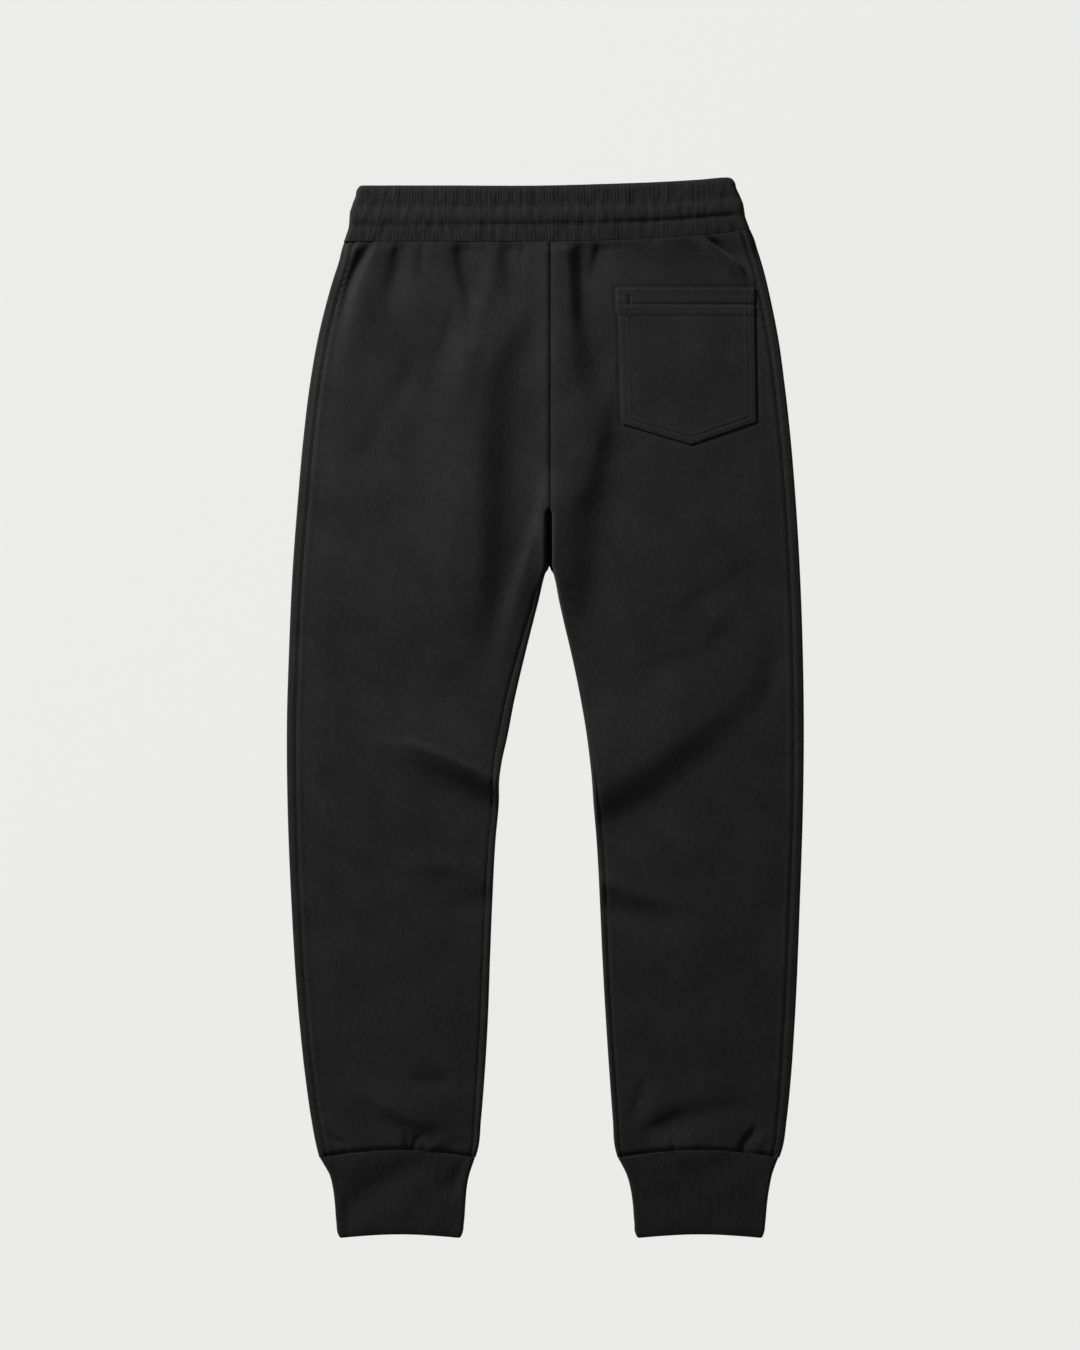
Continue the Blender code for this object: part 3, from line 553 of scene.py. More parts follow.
        (-0.1285, 0.5555, 0.0050, 0.0040, 0.0016),
        (-0.1031, 0.5643, 0.0050, 0.0040, 0.0022),
        (-0.0757, 0.5760, 0.0050, 0.0040, 0.0021),
        (-0.0542, 0.5858, 0.0050, 0.0040, 0.0017),
        (-0.0288, 0.5985, 0.0050, 0.0040, 0.0014),
    ),
    (
        (-0.1422, 0.5927, 0.0150, 0.0240, 0.0000),
        (-0.1050, 0.6015, 0.0150, 0.0240, -0.0020),
        (-0.0796, 0.6112, 0.0150, 0.0240, -0.0028),
        (-0.0561, 0.6230, 0.0150, 0.0240, -0.0030),
        (-0.0288, 0.6367, 0.0150, 0.0240, -0.0030),
    ),
    # Right knee: the same, longer and steeper.
    (
        (0.0221, 0.6073, 0.0700, 0.0270, 0.0072),
        (0.0475, 0.5946, 0.0700, 0.0270, 0.0078),
        (0.0730, 0.5809, 0.0700, 0.0260, 0.0078),
        (0.0984, 0.5663, 0.0660, 0.0240, 0.0072),
        (0.1238, 0.5506, 0.0600, 0.0210, 0.0062),
        (0.1483, 0.5340, 0.0540, 0.0190, 0.0046),
        (0.1727, 0.5154, 0.0460, 0.0180, 0.0028),
        (0.1952, 0.4929, 0.0380, 0.0160, 0.0010),
        (0.2069, 0.4734, 0.0300, 0.0140, 0.0000),
    ),
    (
        (0.0299, 0.6435, 0.0150, 0.0240, -0.0024),
        (0.0593, 0.6318, 0.0150, 0.0240, -0.0024),
        (0.1091, 0.6083, 0.0160, 0.0240, -0.0022),
        (0.1620, 0.5712, 0.0180, 0.0220, -0.0014),
        (0.1952, 0.5477, 0.0180, 0.0220, 0.0000),
    ),
    # Calves: a short hollow below each knee.
    (
        (-0.1422, 0.6729, 0.0100, 0.0090, 0.0000),
        (-0.1187, 0.6699, 0.0100, 0.0080, 0.0008),
        (-0.0972, 0.6729, 0.0090, 0.0080, 0.0016),
        (-0.0796, 0.6778, 0.0090, 0.0080, 0.0008),
        (-0.0640, 0.6826, 0.0090, 0.0080, 0.0000),
    ),
    (
        (-0.1031, 0.7179, 0.0120, 0.0120, 0.0000),
        (-0.0816, 0.7120, 0.0120, 0.0120, -0.0016),
        (-0.0581, 0.7081, 0.0120, 0.0120, -0.0026),
        (-0.0366, 0.7061, 0.0120, 0.0120, -0.0026),
    ),
    (
        (0.0368, 0.6846, 0.0120, 0.0090, 0.0042),
        (0.0573, 0.6895, 0.0120, 0.0090, 0.0044),
        (0.0827, 0.6983, 0.0120, 0.0090, 0.0032),
        (0.1121, 0.7051, 0.0120, 0.0090, 0.0018),
        (0.1659, 0.7130, 0.0120, 0.0100, 0.0000),
    ),
    (
        (0.0368, 0.7139, 0.0090, 0.0120, -0.0026),
        (0.0612, 0.7159, 0.0090, 0.0120, -0.0026),
        (0.0925, 0.7227, 0.0090, 0.0120, -0.0016),
        (0.1414, 0.7276, 0.0090, 0.0120, 0.0000),
    ),
    # Left ankle.
    (
        (-0.1344, 0.8743, 0.0080, 0.0080, 0.0000),
        (-0.1226, 0.8831, 0.0080, 0.0080, -0.0014),
        (-0.1011, 0.8851, 0.0080, 0.0090, -0.0014),
        (-0.0874, 0.8831, 0.0080, 0.0080, 0.0000),
    ),
    (
        (-0.2028, 0.8900, 0.0220, 0.0100, 0.0000),
        (-0.1852, 0.8939, 0.0220, 0.0100, 0.0014),
        (-0.1696, 0.8988, 0.0220, 0.0100, 0.0030),
        (-0.1539, 0.9066, 0.0220, 0.0100, 0.0042),
        (-0.1383, 0.9144, 0.0200, 0.0100, 0.0044),
        (-0.1226, 0.9213, 0.0180, 0.0100, 0.0036),
        (-0.1089, 0.9252, 0.0160, 0.0090, 0.0018),
        (-0.0953, 0.9281, 0.0140, 0.0090, 0.0000),
    ),
    (
        (-0.2136, 0.9330, 0.0030, 0.0030, 0.0000),
        (-0.2058, 0.9399, 0.0030, 0.0030, -0.0016),
        (-0.1979, 0.9457, 0.0030, 0.0030, -0.0018),
        (-0.1931, 0.9565, 0.0030, 0.0030, -0.0014),
    ),
    (
        (-0.1373, 0.9330, 0.0030, 0.0030, 0.0000),
        (-0.1354, 0.9428, 0.0030, 0.0030, -0.0014),
        (-0.1344, 0.9565, 0.0030, 0.0030, -0.0016),
    ),
    (
        (-0.1305, 0.9584, 0.0040, 0.0030, -0.0016),
        (-0.1285, 0.9467, 0.0040, 0.0030, -0.0016),
        (-0.1236, 0.9389, 0.0040, 0.0035, -0.0010),
        (-0.1148, 0.9330, 0.0040, 0.0040, 0.0000),
    ),
    (
        (-0.1148, 0.9604, 0.0070, 0.0050, 0.0016),
        (-0.1109, 0.9487, 0.0070, 0.0050, 0.0016),
        (-0.0992, 0.9408, 0.0070, 0.0050, 0.0008),
        (-0.0874, 0.9389, 0.0060, 0.0050, 0.0000),
    ),
    (
        (-0.1715, 0.9584, 0.0040, 0.0040, -0.0009),
        (-0.1745, 0.9408, 0.0040, 0.0040, 0.0000),
    ),
    (
        (-0.0913, 0.9584, 0.0040, 0.0040, -0.0010),
        (-0.0953, 0.9428, 0.0040, 0.0040, 0.0000),
    ),
    # Right ankle.
    (
        (0.0906, 0.9320, 0.0100, 0.0120, 0.0000),
        (0.1043, 0.9311, 0.0100, 0.0120, -0.0026),
        (0.1170, 0.9281, 0.0110, 0.0130, -0.0046),
        (0.1316, 0.9223, 0.0120, 0.0140, -0.0040),
        (0.1492, 0.9164, 0.0130, 0.0150, -0.0026),
        (0.1727, 0.9135, 0.0130, 0.0150, -0.0017),
        (0.1923, 0.9125, 0.0120, 0.0140, -0.0007),
        (0.2079, 0.9125, 0.0100, 0.0120, 0.0000),
    ),
    (
        (0.2069, 0.9252, 0.0040, 0.0040, 0.0000),
        (0.2021, 0.9340, 0.0060, 0.0035, -0.0024),
        (0.1942, 0.9438, 0.0060, 0.0035, -0.0028),
        (0.1884, 0.9584, 0.0060, 0.0035, -0.0024),
    ),
    (
        (0.2177, 0.9291, 0.0040, 0.0040, 0.0000),
        (0.2118, 0.9399, 0.0040, 0.0040, 0.0006),
        (0.2040, 0.9565, 0.0040, 0.0040, 0.0005),
    ),
    (
        (0.1228, 0.9350, 0.0030, 0.0030, 0.0000),
        (0.1248, 0.9428, 0.0030, 0.0030, -0.0013),
        (0.1287, 0.9584, 0.0030, 0.0030, -0.0013),
    ),
    (
        (0.0994, 0.8763, 0.0090, 0.0070, 0.0000),
        (0.0955, 0.8919, 0.0090, 0.0070, -0.0014),
        (0.0886, 0.9115, 0.0090, 0.0060, -0.0014),
        (0.0837, 0.9291, 0.0080, 0.0060, 0.0000),
    ),
    (
        (0.1512, 0.9584, 0.0040, 0.0040, -0.0010),
        (0.1492, 0.9408, 0.0040, 0.0040, 0.0000),
    ),
)

# The back pocket on the right: a pentagon with its point a little right of the middle. Its hem is folded
# over and a little wider than the pocket below it. Stitch lines are distances in from its edges.
POCKET_WIDTH = 0.132
POCKET_HEIGHT = 0.140
POCKET_TOP = {"left": 0.0690, "right": 0.2042, "down": 0.1080}
POCKET_CORNERS = {"left": 0.0748, "right": 0.2062, "left_down": 0.2407, "right_down": 0.2386}
POCKET_POINT = {"across": 0.512, "down": 0.2609}
POCKET_HEM = {"height": 0.0250, "rise": 0.0005, "overhang": 0.0022}
POCKET_HEM_DIP = {"rise": -0.00015, "width": 0.0020, "down": 0.0065}
POCKET_HEM_LINES = (0.0160, 0.0272)
POCKET_HEM_SINKS = (0.0011, 0.0005)
POCKET_EDGE_LINES = (0.0022, 0.0062)
POCKET_EDGE_SINKS = {"outer": 0.00025, "inner": 0.00035, "inner_foot": 0.00055}
POCKET_LINE_WIDTHS = {"edge": 0.0010, "hem": 0.0013}
POCKET_SLANT = math.cos(math.radians(16.5))
POCKET_BORDER = {"width": 0.0085, "rise": 0.0003}
POCKET_FURROW = {"outside": 0.0012, "width": 0.0018, "depth": 0.0007}
BARTACK = {"in": 0.0125, "top": 0.0080, "foot": 0.0150, "bars": 10, "half": 0.00165, "sink": 0.0014}


# ---- Reading the shape of the laid cloth. x, down and row are numbers or arrays ----

def ease(t):
    """From 0 to 1, with no slope at either end."""
    t = np.clip(t, 0.0, 1.0)
    return t * t * (3 - 2 * t)


def mix(a, b, t):
    return a + (b - a) * t


def bell(distance, width):
    """1 at no distance, fading smoothly to 0 past the width."""
    return np.exp(-((distance / width) ** 2))


def relief(form, distance):
    """The rise of a named form at that distance from its line."""
    return form["rise"] * bell(distance, form["width"])


def side_name(side):
    return "left" if side < 0 else "right"


def edge(side, down):
    return EDGES.at(side_name(side), down)


def inset(side, down):
    return INSETS.at(side_name(side), down)


def inner(side, down):
    return INNER.at(side_name(side), np.maximum(down, CROTCH_DOWN))


def inner_inset(side, down):
    return np.maximum(INSETS.at(side_name(side) + "_inner", down), 0.0)


def inner_radius(down):
    """The inner folds are fuller at the crotch, where all four panels meet."""
    return mix(CROTCH_RADIUS, FOLD_RADIUS, ease((down - CROTCH_DOWN) / CROTCH_FULLNESS))


def curled(down):
    """How far the legs' inner folds have formed below the crotch, from 0 to 1."""
    return ease((down - CROTCH_DOWN) / CROTCH_CURL)


def smooth_line(points):
    """A crease with its points joined by a smooth curve, in short steps."""
    rows = [(number, *point) for number, point in enumerate(points)]
    curve = Table("at x down plus minus rise", rows)
    places = np.linspace(0, len(points) - 1, 5 * (len(points) - 1) + 1)
    return np.stack([curve.at(name, places) for name in curve.columns[1:]], axis=1)


def crease_lift(line, x, down):
    """The rise of one crease, which may be steeper on one side than on the other."""
    nearest, lift = np.inf, 0.0
    for start, end in zip(line, line[1:]):
        run_x, run_down = end[0] - start[0], end[1] - start[1]
        along = (x - start[0]) * run_x + (down - start[1]) * run_down
        t = np.clip(along / (run_x**2 + run_down**2), 0.0, 1.0)
        off_x, off_down = x - start[0] - t * run_x, down - start[1] - t * run_down
        away = np.hypot(off_x, off_down)
        plus_side = off_x * run_down > off_down * run_x
        width = np.where(plus_side, mix(start[2], end[2], t), mix(start[3], end[3], t))
        lift = np.where(away < nearest, mix(start[4], end[4], t) * bell(away, width), lift)
        nearest = np.minimum(away, nearest)
    return lift


def creases(lines, side, x, down):
    """The summed rise of the creases on this leg and near the centre, each only within its reach."""
    x, down = np.broadcast_arrays(x, down)
    lift = np.zeros(x.shape)
    for line in map(smooth_line, lines):
        if side * line[:, 0].mean() < -NEAR_CENTRE:
            continue
        reach = 2.5 * line[:, 2:4].max()
        low, high = line[:, :2].min(axis=0) - reach, line[:, :2].max(axis=0) + reach
        near = (x > low[0]) & (x < high[0]) & (down > low[1]) & (down < high[1])
        lift[near] += crease_lift(line, x[near], down[near])
    return lift


def ripples(x, down, size, seed):
    """Soft uneven ripples about that size, mostly between -1 and 1."""
    draw = np.random.default_rng(seed)
    total = 0.0
    for _ in range(14):
        heading, length, start = draw.uniform((0, 0.7, 0), (math.tau, 1.5, math.tau))
        pace = math.tau / (size * length)
        total = total + np.cos(pace * (x * math.cos(heading) + down * math.sin(heading)) + start)
    return total / 4.0


def uneven(place, pitch, seed):
    """The phase of a row of gathers whose pitch is as uneven as hand-eased cloth, in turns."""
    draw = np.random.default_rng(seed)
    phase = place / pitch
    for _ in range(4):
        length, start = draw.uniform((5, 0), (16, math.tau))
        phase = phase + 0.30 * np.sin(math.tau * place / (pitch * length) + start)
    return phase


def puckers(place, seed):
    """Small waves along a seam, uneven in pitch and height."""
    height = 0.6 + 0.4 * ripples(place, 0 * place, 6 * PUCKER_PITCH, seed + 1)
    return PUCKER_RISE * height * np.sin(math.tau * uneven(place, PUCKER_PITCH, seed))


def seam_lift(side, x, down):
    """What the seams do to the cloth beside them: they puff, sink, pucker and raise it."""
    below_waist = down - BAND_LINES.at("seam", x)
    above_cuff = cuff_seam(side, x) - down
    from_side = np.abs(side * (edge(side, down) - x) - inset(side, down))
    from_inseam = np.abs(side * (x - inner(side, down)) - inner_inset(side, down))
    from_seat = np.abs(x - CENTRE)
    puff = mix(WAIST_PUFF["left"], WAIST_PUFF["right"], ease((x - 0.02) / 0.09))
    lift = puff * bell(below_waist, WAIST_PUFF["width"]) + relief(CUFF_DIP, above_cuff)
    lift = lift + relief(SIDE_RIDGE, from_side - SIDE_RIDGE["in"]) + relief(SIDE_GROOVE, from_side)
    lift = lift + puckers(down + 0.5 * from_side, 11 + side) * np.exp(-from_side / PUCKER_REACH)
    lift = lift + ease((down - CROTCH_DOWN) / 0.030) * relief(INSEAM_GROOVE, from_inseam)
    # The seat seam's allowance lies under its left side, which stands a little over the right one.
    seat = 1 - ease((down - SEAT_FOLD_TOP) / 0.010)
    if side < 0:
        return lift + seat * (relief(SEAT_RIDGE, from_seat) + relief(SEAT_STEP, from_seat))
    return lift + seat * relief(SEAT_SINK, from_seat)


def pocket_left(down):
    """The pocket's left edge. The folded hem stands out past the pocket below it."""
    below = down - POCKET_TOP["down"]
    drop = POCKET_CORNERS["left_down"] - POCKET_TOP["down"]
    plain = mix(POCKET_TOP["left"] + POCKET_HEM["overhang"], POCKET_CORNERS["left"], below / drop)
    return plain - POCKET_HEM["overhang"] * (1 - ease((below - POCKET_HEM["height"]) / 0.003))


def pocket_right(down):
    drop = POCKET_CORNERS["right_down"] - POCKET_TOP["down"]
    return mix(POCKET_TOP["right"], POCKET_CORNERS["right"], (down - POCKET_TOP["down"]) / drop)


def pocket_foot(u):
    """How far down the pocket's lower edge lies, u of the way across it."""
    point = POCKET_POINT["across"]
    slope = np.where(u < point, u / point, (1 - u) / (1 - point))
    corner = np.where(u < point, POCKET_CORNERS["left_down"], POCKET_CORNERS["right_down"])
    return mix(corner, POCKET_POINT["down"], slope)


def pocket_place(u, v):
    """x and down of a place on the pocket, u across and v down it."""
    down = mix(POCKET_TOP["down"], pocket_foot(u), v)
    return mix(pocket_left(down), pocket_right(down), u), down


def from_pocket_edge(x, down):
    """The distance in from the pocket's sewn edges, which leave its top open."""
    u = (x - POCKET_CORNERS["left"]) / (POCKET_CORNERS["right"] - POCKET_CORNERS["left"])
    lower = (pocket_foot(np.clip(u, 0.0, 1.0)) - down) * POCKET_SLANT
    return np.minimum(np.minimum(x - pocket_left(down), pocket_right(down) - x), lower)


def pocket_press(x, down):
    """The pocket's stitching draws the cloth beside it down into a shallow furrow all round."""
    inside = np.minimum(from_pocket_edge(x, down), down - POCKET_TOP["down"])
    return -POCKET_FURROW["depth"] * bell(inside + POCKET_FURROW["outside"], POCKET_FURROW["width"])


def upper_height(side, x, down):
    """The height of the back layer's outer face."""
    from_edge = side * (edge(side, down) - x) - FOLD_RADIUS
    height = MIDDLE_HEIGHT - LOFT * (1 - ease(from_edge / LOFT_REACH[side_name(side)]))
    radius = inner_radius(down)
    from_inner = side * (x - inner(side, down)) - radius
    on_leg = ease((down - CROTCH_DOWN) / 0.004)
    fall = (MIDDLE_HEIGHT - 2 * radius) * (1 - ease(from_inner / LOFT_REACH["inner"]))
    height = height - on_leg * fall
    below_waist = down - BAND_LINES.at("seam", x)
    held = mix(WAIST_HOLD["share"], 1.0, ease(below_waist / WAIST_HOLD["reach"]))
    lift = held * creases(CREASES, side, x, down)
    lift = lift + SLACK["rise"] * ripples(x, down, SLACK["size"], 3)
    height = height + ease(from_edge / 0.006) * lift
    height = height + ease(from_edge / 0.003) * seam_lift(side, x, down)
    if side > 0:
        height = height + pocket_press(x, down)
    above = height - LEAST_HEIGHT
    return LEAST_HEIGHT + (above + np.hypot(above, 0.0008)) / 2


def inner_height(side, down):
    """How high the legs' inner folds stand. They follow the creases that run over them."""
    return upper_height(side, inner(side, down) + side * inner_radius(down), down)


def band_top(x):
    return np.maximum(BAND_LINES.at("top", x), 0.0)


def cuff_seam(side, x):
    """How far down the seam between leg and cuff lies. It bows up towards the middle of the leg."""
    first = CUFFS.at(side_name(side) + "_outer", 0.0)
    last = CUFFS.at(side_name(side) + "_inner", 0.0)
    return LEG_END - CUFF_BOW * np.sin(math.pi * np.clip((x - first) / (last - first), 0.0, 1.0))


def lay(side, row, x_at):
    """The place (x, down) of each point, where x_at gives its x at any distance down.

    The first rows follow the waistband's seam and the last rows follow the cuff's.
    """
    waist = 1 - ease((row - WAIST_DOWN) / WAIST_EASE)
    cuff = ease((row - ANKLE_START) / (LEG_END - ANKLE_START))
    down = row
    for _ in range(5):
        x = x_at(down)
        at_waist = BAND_LINES.at("seam", x) - WAIST_DOWN
        down = row + waist * at_waist + cuff * (cuff_seam(side, x) - LEG_END)
    return x, down


def roll_of(side, down):
    """How a back panel's inner end rolls over: its start, its radius, its angle and the drop after it."""
    radius, over = inner_radius(down), inner_inset(side, down)
    turn = np.maximum(math.pi / 2 - np.arccos(np.clip(1 - over / radius, 0.0, 1.0)), 0.0)
    leg_x = inner(side, down) + side * np.maximum(radius, over)

    opened = ease((down - SEAT_FOLD_TOP) / (SEAT_FOLD_OPEN - SEAT_FOLD_TOP))
    seat_radius, seat_turn = SEAT_FOLD_RADIUS[side_name(side)], math.pi / 2 * opened
    formed = curled(down)
    seat_drop = opened * (1 - formed) * (MIDDLE_HEIGHT - seat_radius - SEAT_FOLD_RIM)
    rim = CENTRE + side * SEAT_FOLD_HALF * opened
    seat_x = rim + side * (seat_drop * np.cos(seat_turn) + seat_radius * np.sin(seat_turn))
    on_leg = down > CROTCH_DOWN
    return (
        np.where(on_leg, leg_x, seat_x),
        np.where(on_leg, mix(seat_radius, radius, formed), seat_radius),
        np.where(on_leg, turn, seat_turn),
        seat_drop,
    )


# ---- Faces: grids of points, in rows from waist to ankle ----

def layout(count, rim):
    """Steps from one rim to the other, close together where the cloth turns over each rim.

    Each has a share of the whole way, a distance to add to that, and how deep it lies below the face.
    """
    turn = np.linspace(0.0, math.pi / 2, 4, endpoint=False)
    near, deep = rim * (1 - np.cos(turn)), rim * (1 - np.sin(turn))
    t = np.linspace(0.0, 1.0, count)
    share = np.concatenate([0 * turn, t, 0 * turn + 1])
    extra = np.concatenate([near, rim * (1 - 2 * t), -near[::-1]])
    depth = np.concatenate([deep, 0 * t, deep[::-1]])
    return share, extra, depth


def face_steps(rows, columns, rim, wall):
    """The steps down and across one face: the outer one with its rounded rims, or the plain inside."""
    if wall:
        down_share, across_share = np.linspace(0, 1, rows), np.linspace(0, 1, columns)
        zeros = 0 * down_share, 0 * across_share
        return (down_share, zeros[0]), (across_share, zeros[1]), np.full((rows, columns), wall)
    down_steps, across_steps = layout(rows, rim), layout(columns, rim)
    depth = np.maximum(down_steps[2][:, None], across_steps[2][None, :])
    return down_steps[:2], across_steps[:2], depth


def panel_rows(steps):
    """How far down each row lies. Rows are closer at the waist and the ankle, where creases are fine."""
    share, extra = steps
    share = share - 0.4 * np.sin(math.tau * share) / math.tau
    return (WAIST_DOWN + share * (LEG_END - WAIST_DOWN) + extra)[:, None]


def back_face(side, rows, columns, wall=0.0):
    """A back panel, from the side seam over the upper side to its inner end, which rolls over."""
    down_steps, across_steps, depth = face_steps(rows, columns, SEAM_ROUND, wall)
    row = panel_rows(down_steps)
    share, extra = across_steps

    def place_at(down):
        roll_x, radius, turn, drop = roll_of(side, down)
        start = edge(side, down) - side * inset(side, down)
        whole = side * (start - roll_x) + radius * turn + drop
        from_rim = (1 - share) * whole - extra
        dropped = np.clip(drop - from_rim, 0.0, None)
        walked = radius * turn - np.clip(from_rim - drop, 0.0, None)
        angle = np.clip(walked / radius, 0.0, turn)
        ahead = np.clip(-walked, 0.0, None)
        x = roll_x + side * (ahead - (radius - depth) * np.sin(angle) - dropped * np.cos(turn))
        return x, angle, dropped, roll_x, radius, turn

    x, down = lay(side, row + 0 * share, lambda down: place_at(down)[0])
    _, angle, dropped, roll_x, radius, turn = place_at(down)
    height = upper_height(side, np.where(angle > 0, roll_x, x), down)
    tall = mix(radius, height / 2, curled(down))
    z = height - tall * (1 - np.cos(angle)) - depth * np.cos(angle) - dropped * np.sin(turn)
    z = np.maximum(z, SEAT_FOLD_RIM)
    return np.stack([x, LENGTH / 2 - down, z], axis=-1)


def front_face(side, rows, columns, wall=0.0):
    """A front panel: from the side seam round the outer fold, along the floor and up the inner fold."""
    strip, bend, flat, curl = columns
    down_steps, _, depth = face_steps(rows, 2, SEAM_ROUND, wall)
    row = panel_rows(down_steps)
    deep = depth[:, :1] if wall else layout(rows, SEAM_ROUND)[2][:, None]
    rim = 0.0 if wall else SEAM_ROUND
    start_steps = layout(strip, rim)
    shares = {
        "strip": start_steps[0][: strip + 4],
        "bend": np.linspace(0, math.pi, bend + 1)[1:],
        "flat": np.linspace(0, 1, flat + 1)[1:],
        "curl": layout(curl, rim)[0][5:],
    }
    extras = {"strip": start_steps[1][: strip + 4], "curl": layout(curl, rim)[1][5:]}
    deeps = {"strip": start_steps[2][: strip + 4], "curl": layout(curl, rim)[2][5:]}
    if wall:
        shares["strip"], shares["curl"] = np.linspace(0, 1, strip), np.linspace(0, 1, curl)[1:]
        extras = {"strip": 0 * shares["strip"], "curl": 0 * shares["curl"]}
        deeps = extras
    path = []

    strip_deep = np.maximum(deep, deeps["strip"])

    def strip_at(down):
        first = edge(side, down) - side * inset(side, down)
        whole = inset(side, down) - FOLD_RADIUS
        return first + side * np.clip(shares["strip"] * whole + extras["strip"], 0.0, whole)

    x, down = lay(side, row + 0 * shares["strip"], strip_at)
    path.append((x, down, upper_height(side, x, down) - strip_deep))

    out = (FOLD_RADIUS - deep) * np.sin(shares["bend"]) - FOLD_RADIUS
    x, down = lay(side, row + 0 * shares["bend"], lambda down: edge(side, down) + side * out)
    path.append((x, down, FOLD_RADIUS + (FOLD_RADIUS - deep) * np.cos(shares["bend"])))

    def flat_at(down):
        first = edge(side, down) - side * FOLD_RADIUS
        return mix(first, curl_start(side, down), shares["flat"])

    x, down = lay(side, row + 0 * shares["flat"], flat_at)
    path.append((x, down, deep + 0 * x))

    curl_deep = np.maximum(deep, deeps["curl"])

    def curl_at(down):
        return curl_place(side, down, shares["curl"], extras["curl"], curl_deep)

    x, down = lay(side, row + 0 * shares["curl"], lambda down: curl_at(down)[0])
    path.append((x, down, curl_at(down)[1]))

    x, down, z = (np.concatenate(parts, axis=1) for parts in zip(*path))
    return np.stack([x, LENGTH / 2 - down, z], axis=-1)


def curl_start(side, down):
    """Where a front panel's inner end leaves the flat underside."""
    radius, formed = inner_radius(down), curled(down)
    in_seat = CENTRE + side * radius * math.pi / 2
    return mix(in_seat, inner(side, down) + side * radius, formed)


def curl_place(side, down, share, extra, depth):
    """x and z on a front panel's inner end: flat in the seat, and up round the fold on the legs."""
    radius, over = inner_radius(down), inner_inset(side, down)
    formed = np.maximum(curled(down), 1e-3)
    past_fold = np.maximum(over - radius, 0.0)
    turn = math.pi / 2 + np.arccos(np.clip(1 - over / radius, 0.0, 1.0))
    walked = np.clip((radius * turn + past_fold) * share + extra, 0.0, radius * turn + past_fold)
    angle = np.minimum(walked / radius, turn) * formed
    past = np.maximum(walked - radius * turn, 0.0)
    bow = radius / formed
    x = curl_start(side, down) + side * (past - (bow - depth) * np.sin(angle))
    taller = mix(1.0, inner_height(side, down) / (2 * radius), formed)
    on_fold = bow * taller * (1 - np.cos(angle)) + depth * np.cos(angle)
    return x, np.where(past > 0, upper_height(side, x, down) - depth, on_fold)


def ring_points(left, right, height, depth, flat, bend, top, rib):
    """x and z round a flattened tube, from the left end of its underside, depth below its outer face.

    rib(x) is the lift of the gathers on the upper side.
    """
    low = depth
    high = np.maximum(height - depth, depth + LEAST_GAP)
    radius = (high - low) / 2
    first, last = left + depth + radius, right - depth - radius
    turn = np.linspace(0, math.pi, bend, endpoint=False)
    under = mix(first, last, np.linspace(0, 1, flat, endpoint=False))
    over = mix(last, first, np.linspace(0, 1, top, endpoint=False))
    fade = ease(np.minimum(over - first, last - over) / 0.010)
    out, up = radius * np.sin(turn), radius * (1 - np.cos(turn))
    x = np.concatenate([under, last + out, over, first - out], axis=1)
    z = np.concatenate([low + 0 * under, low + up, high + fade * rib(over), high - up], axis=1)
    return x, z


def ring_layout(rows, inside_rows, rim):
    """Steps down the outer face, round the far rim, up the inside and round the near rim.

    The rims are flatter than half circles, as they bulge by less than the wall's half thickness.
    """
    reach = 0.4 * rim
    half_turn = np.linspace(0, math.pi, 7, endpoint=False)[1:]
    out = np.linspace(0, 1, rows)
    back = np.linspace(1, 0, inside_rows)
    share = np.concatenate([out, 0 * half_turn + 1, back, 0 * half_turn])
    bow = 1 - np.sin(half_turn)
    extra = reach * np.concatenate([1 - 2 * out, -bow, 1 - 2 * back, bow])
    deep = rim * (1 - np.cos(half_turn))
    depth = np.concatenate([0 * out, deep, 0 * back + 2 * rim, deep[::-1]])
    return share[:, None], extra[:, None], depth[:, None]


# ---- Meshes ----

def grid_faces(rows, columns, start=0, wrap=False):
    """The quads of a grid of points, numbered row by row from start. wrap closes it both ways."""
    index = start + np.arange(rows * columns).reshape(rows, columns)
    if wrap:
        index = np.vstack([index, index[:1]])
        index = np.hstack([index, index[:, :1]])
    corners = index[:-1, :-1], index[:-1, 1:], index[1:, 1:], index[1:, :-1]
    return np.stack([corner.ravel() for corner in corners], axis=1).tolist()


def zip_rims(one, other):
    """Triangles between two rims of (share, point), going on along whichever is behind."""
    faces = []
    i = j = 0
    while i < len(one) - 1 or j < len(other) - 1:
        other_done = j == len(other) - 1
        if other_done or (i < len(one) - 1 and one[i + 1][0] <= other[j + 1][0]):
            faces.append((one[i][1], one[i + 1][1], other[j][1]))
            i += 1
        else:
            faces.append((one[i][1], other[j + 1][1], other[j][1]))
            j += 1
    return faces


def rim_of(points, index):
    """One rim as (share of its length, point number)."""
    run = np.concatenate([[0.0], np.cumsum(np.linalg.norm(np.diff(points, axis=0), axis=1))])
    return list(zip((run / run[-1]).tolist(), index.tolist()))


def volume_of(points, faces):
    """The signed volume inside closed faces, to tell which way they point."""
    total = 0.0
    for size in (3, 4):
        found = np.array([face for face in faces if len(face) == size])
        for k in range(1, size - 1):
            if len(found):
                a, b, c = points[found[:, 0]], points[found[:, k]], points[found[:, k + 1]]
                total += np.einsum("ij,ij->", a, np.cross(b, c))
    return total / 6


def add_mesh(name, points, faces, material):
    if volume_of(points, faces) < 0:
        faces = [face[::-1] for face in faces]
    data = bpy.data.meshes.new(name)
    data.from_pydata(points.tolist(), [], faces)
    data.shade_smooth()
    data.materials.append(material)
    piece = bpy.data.objects.new(name, data)
    bpy.context.scene.collection.objects.link(piece)
    return piece


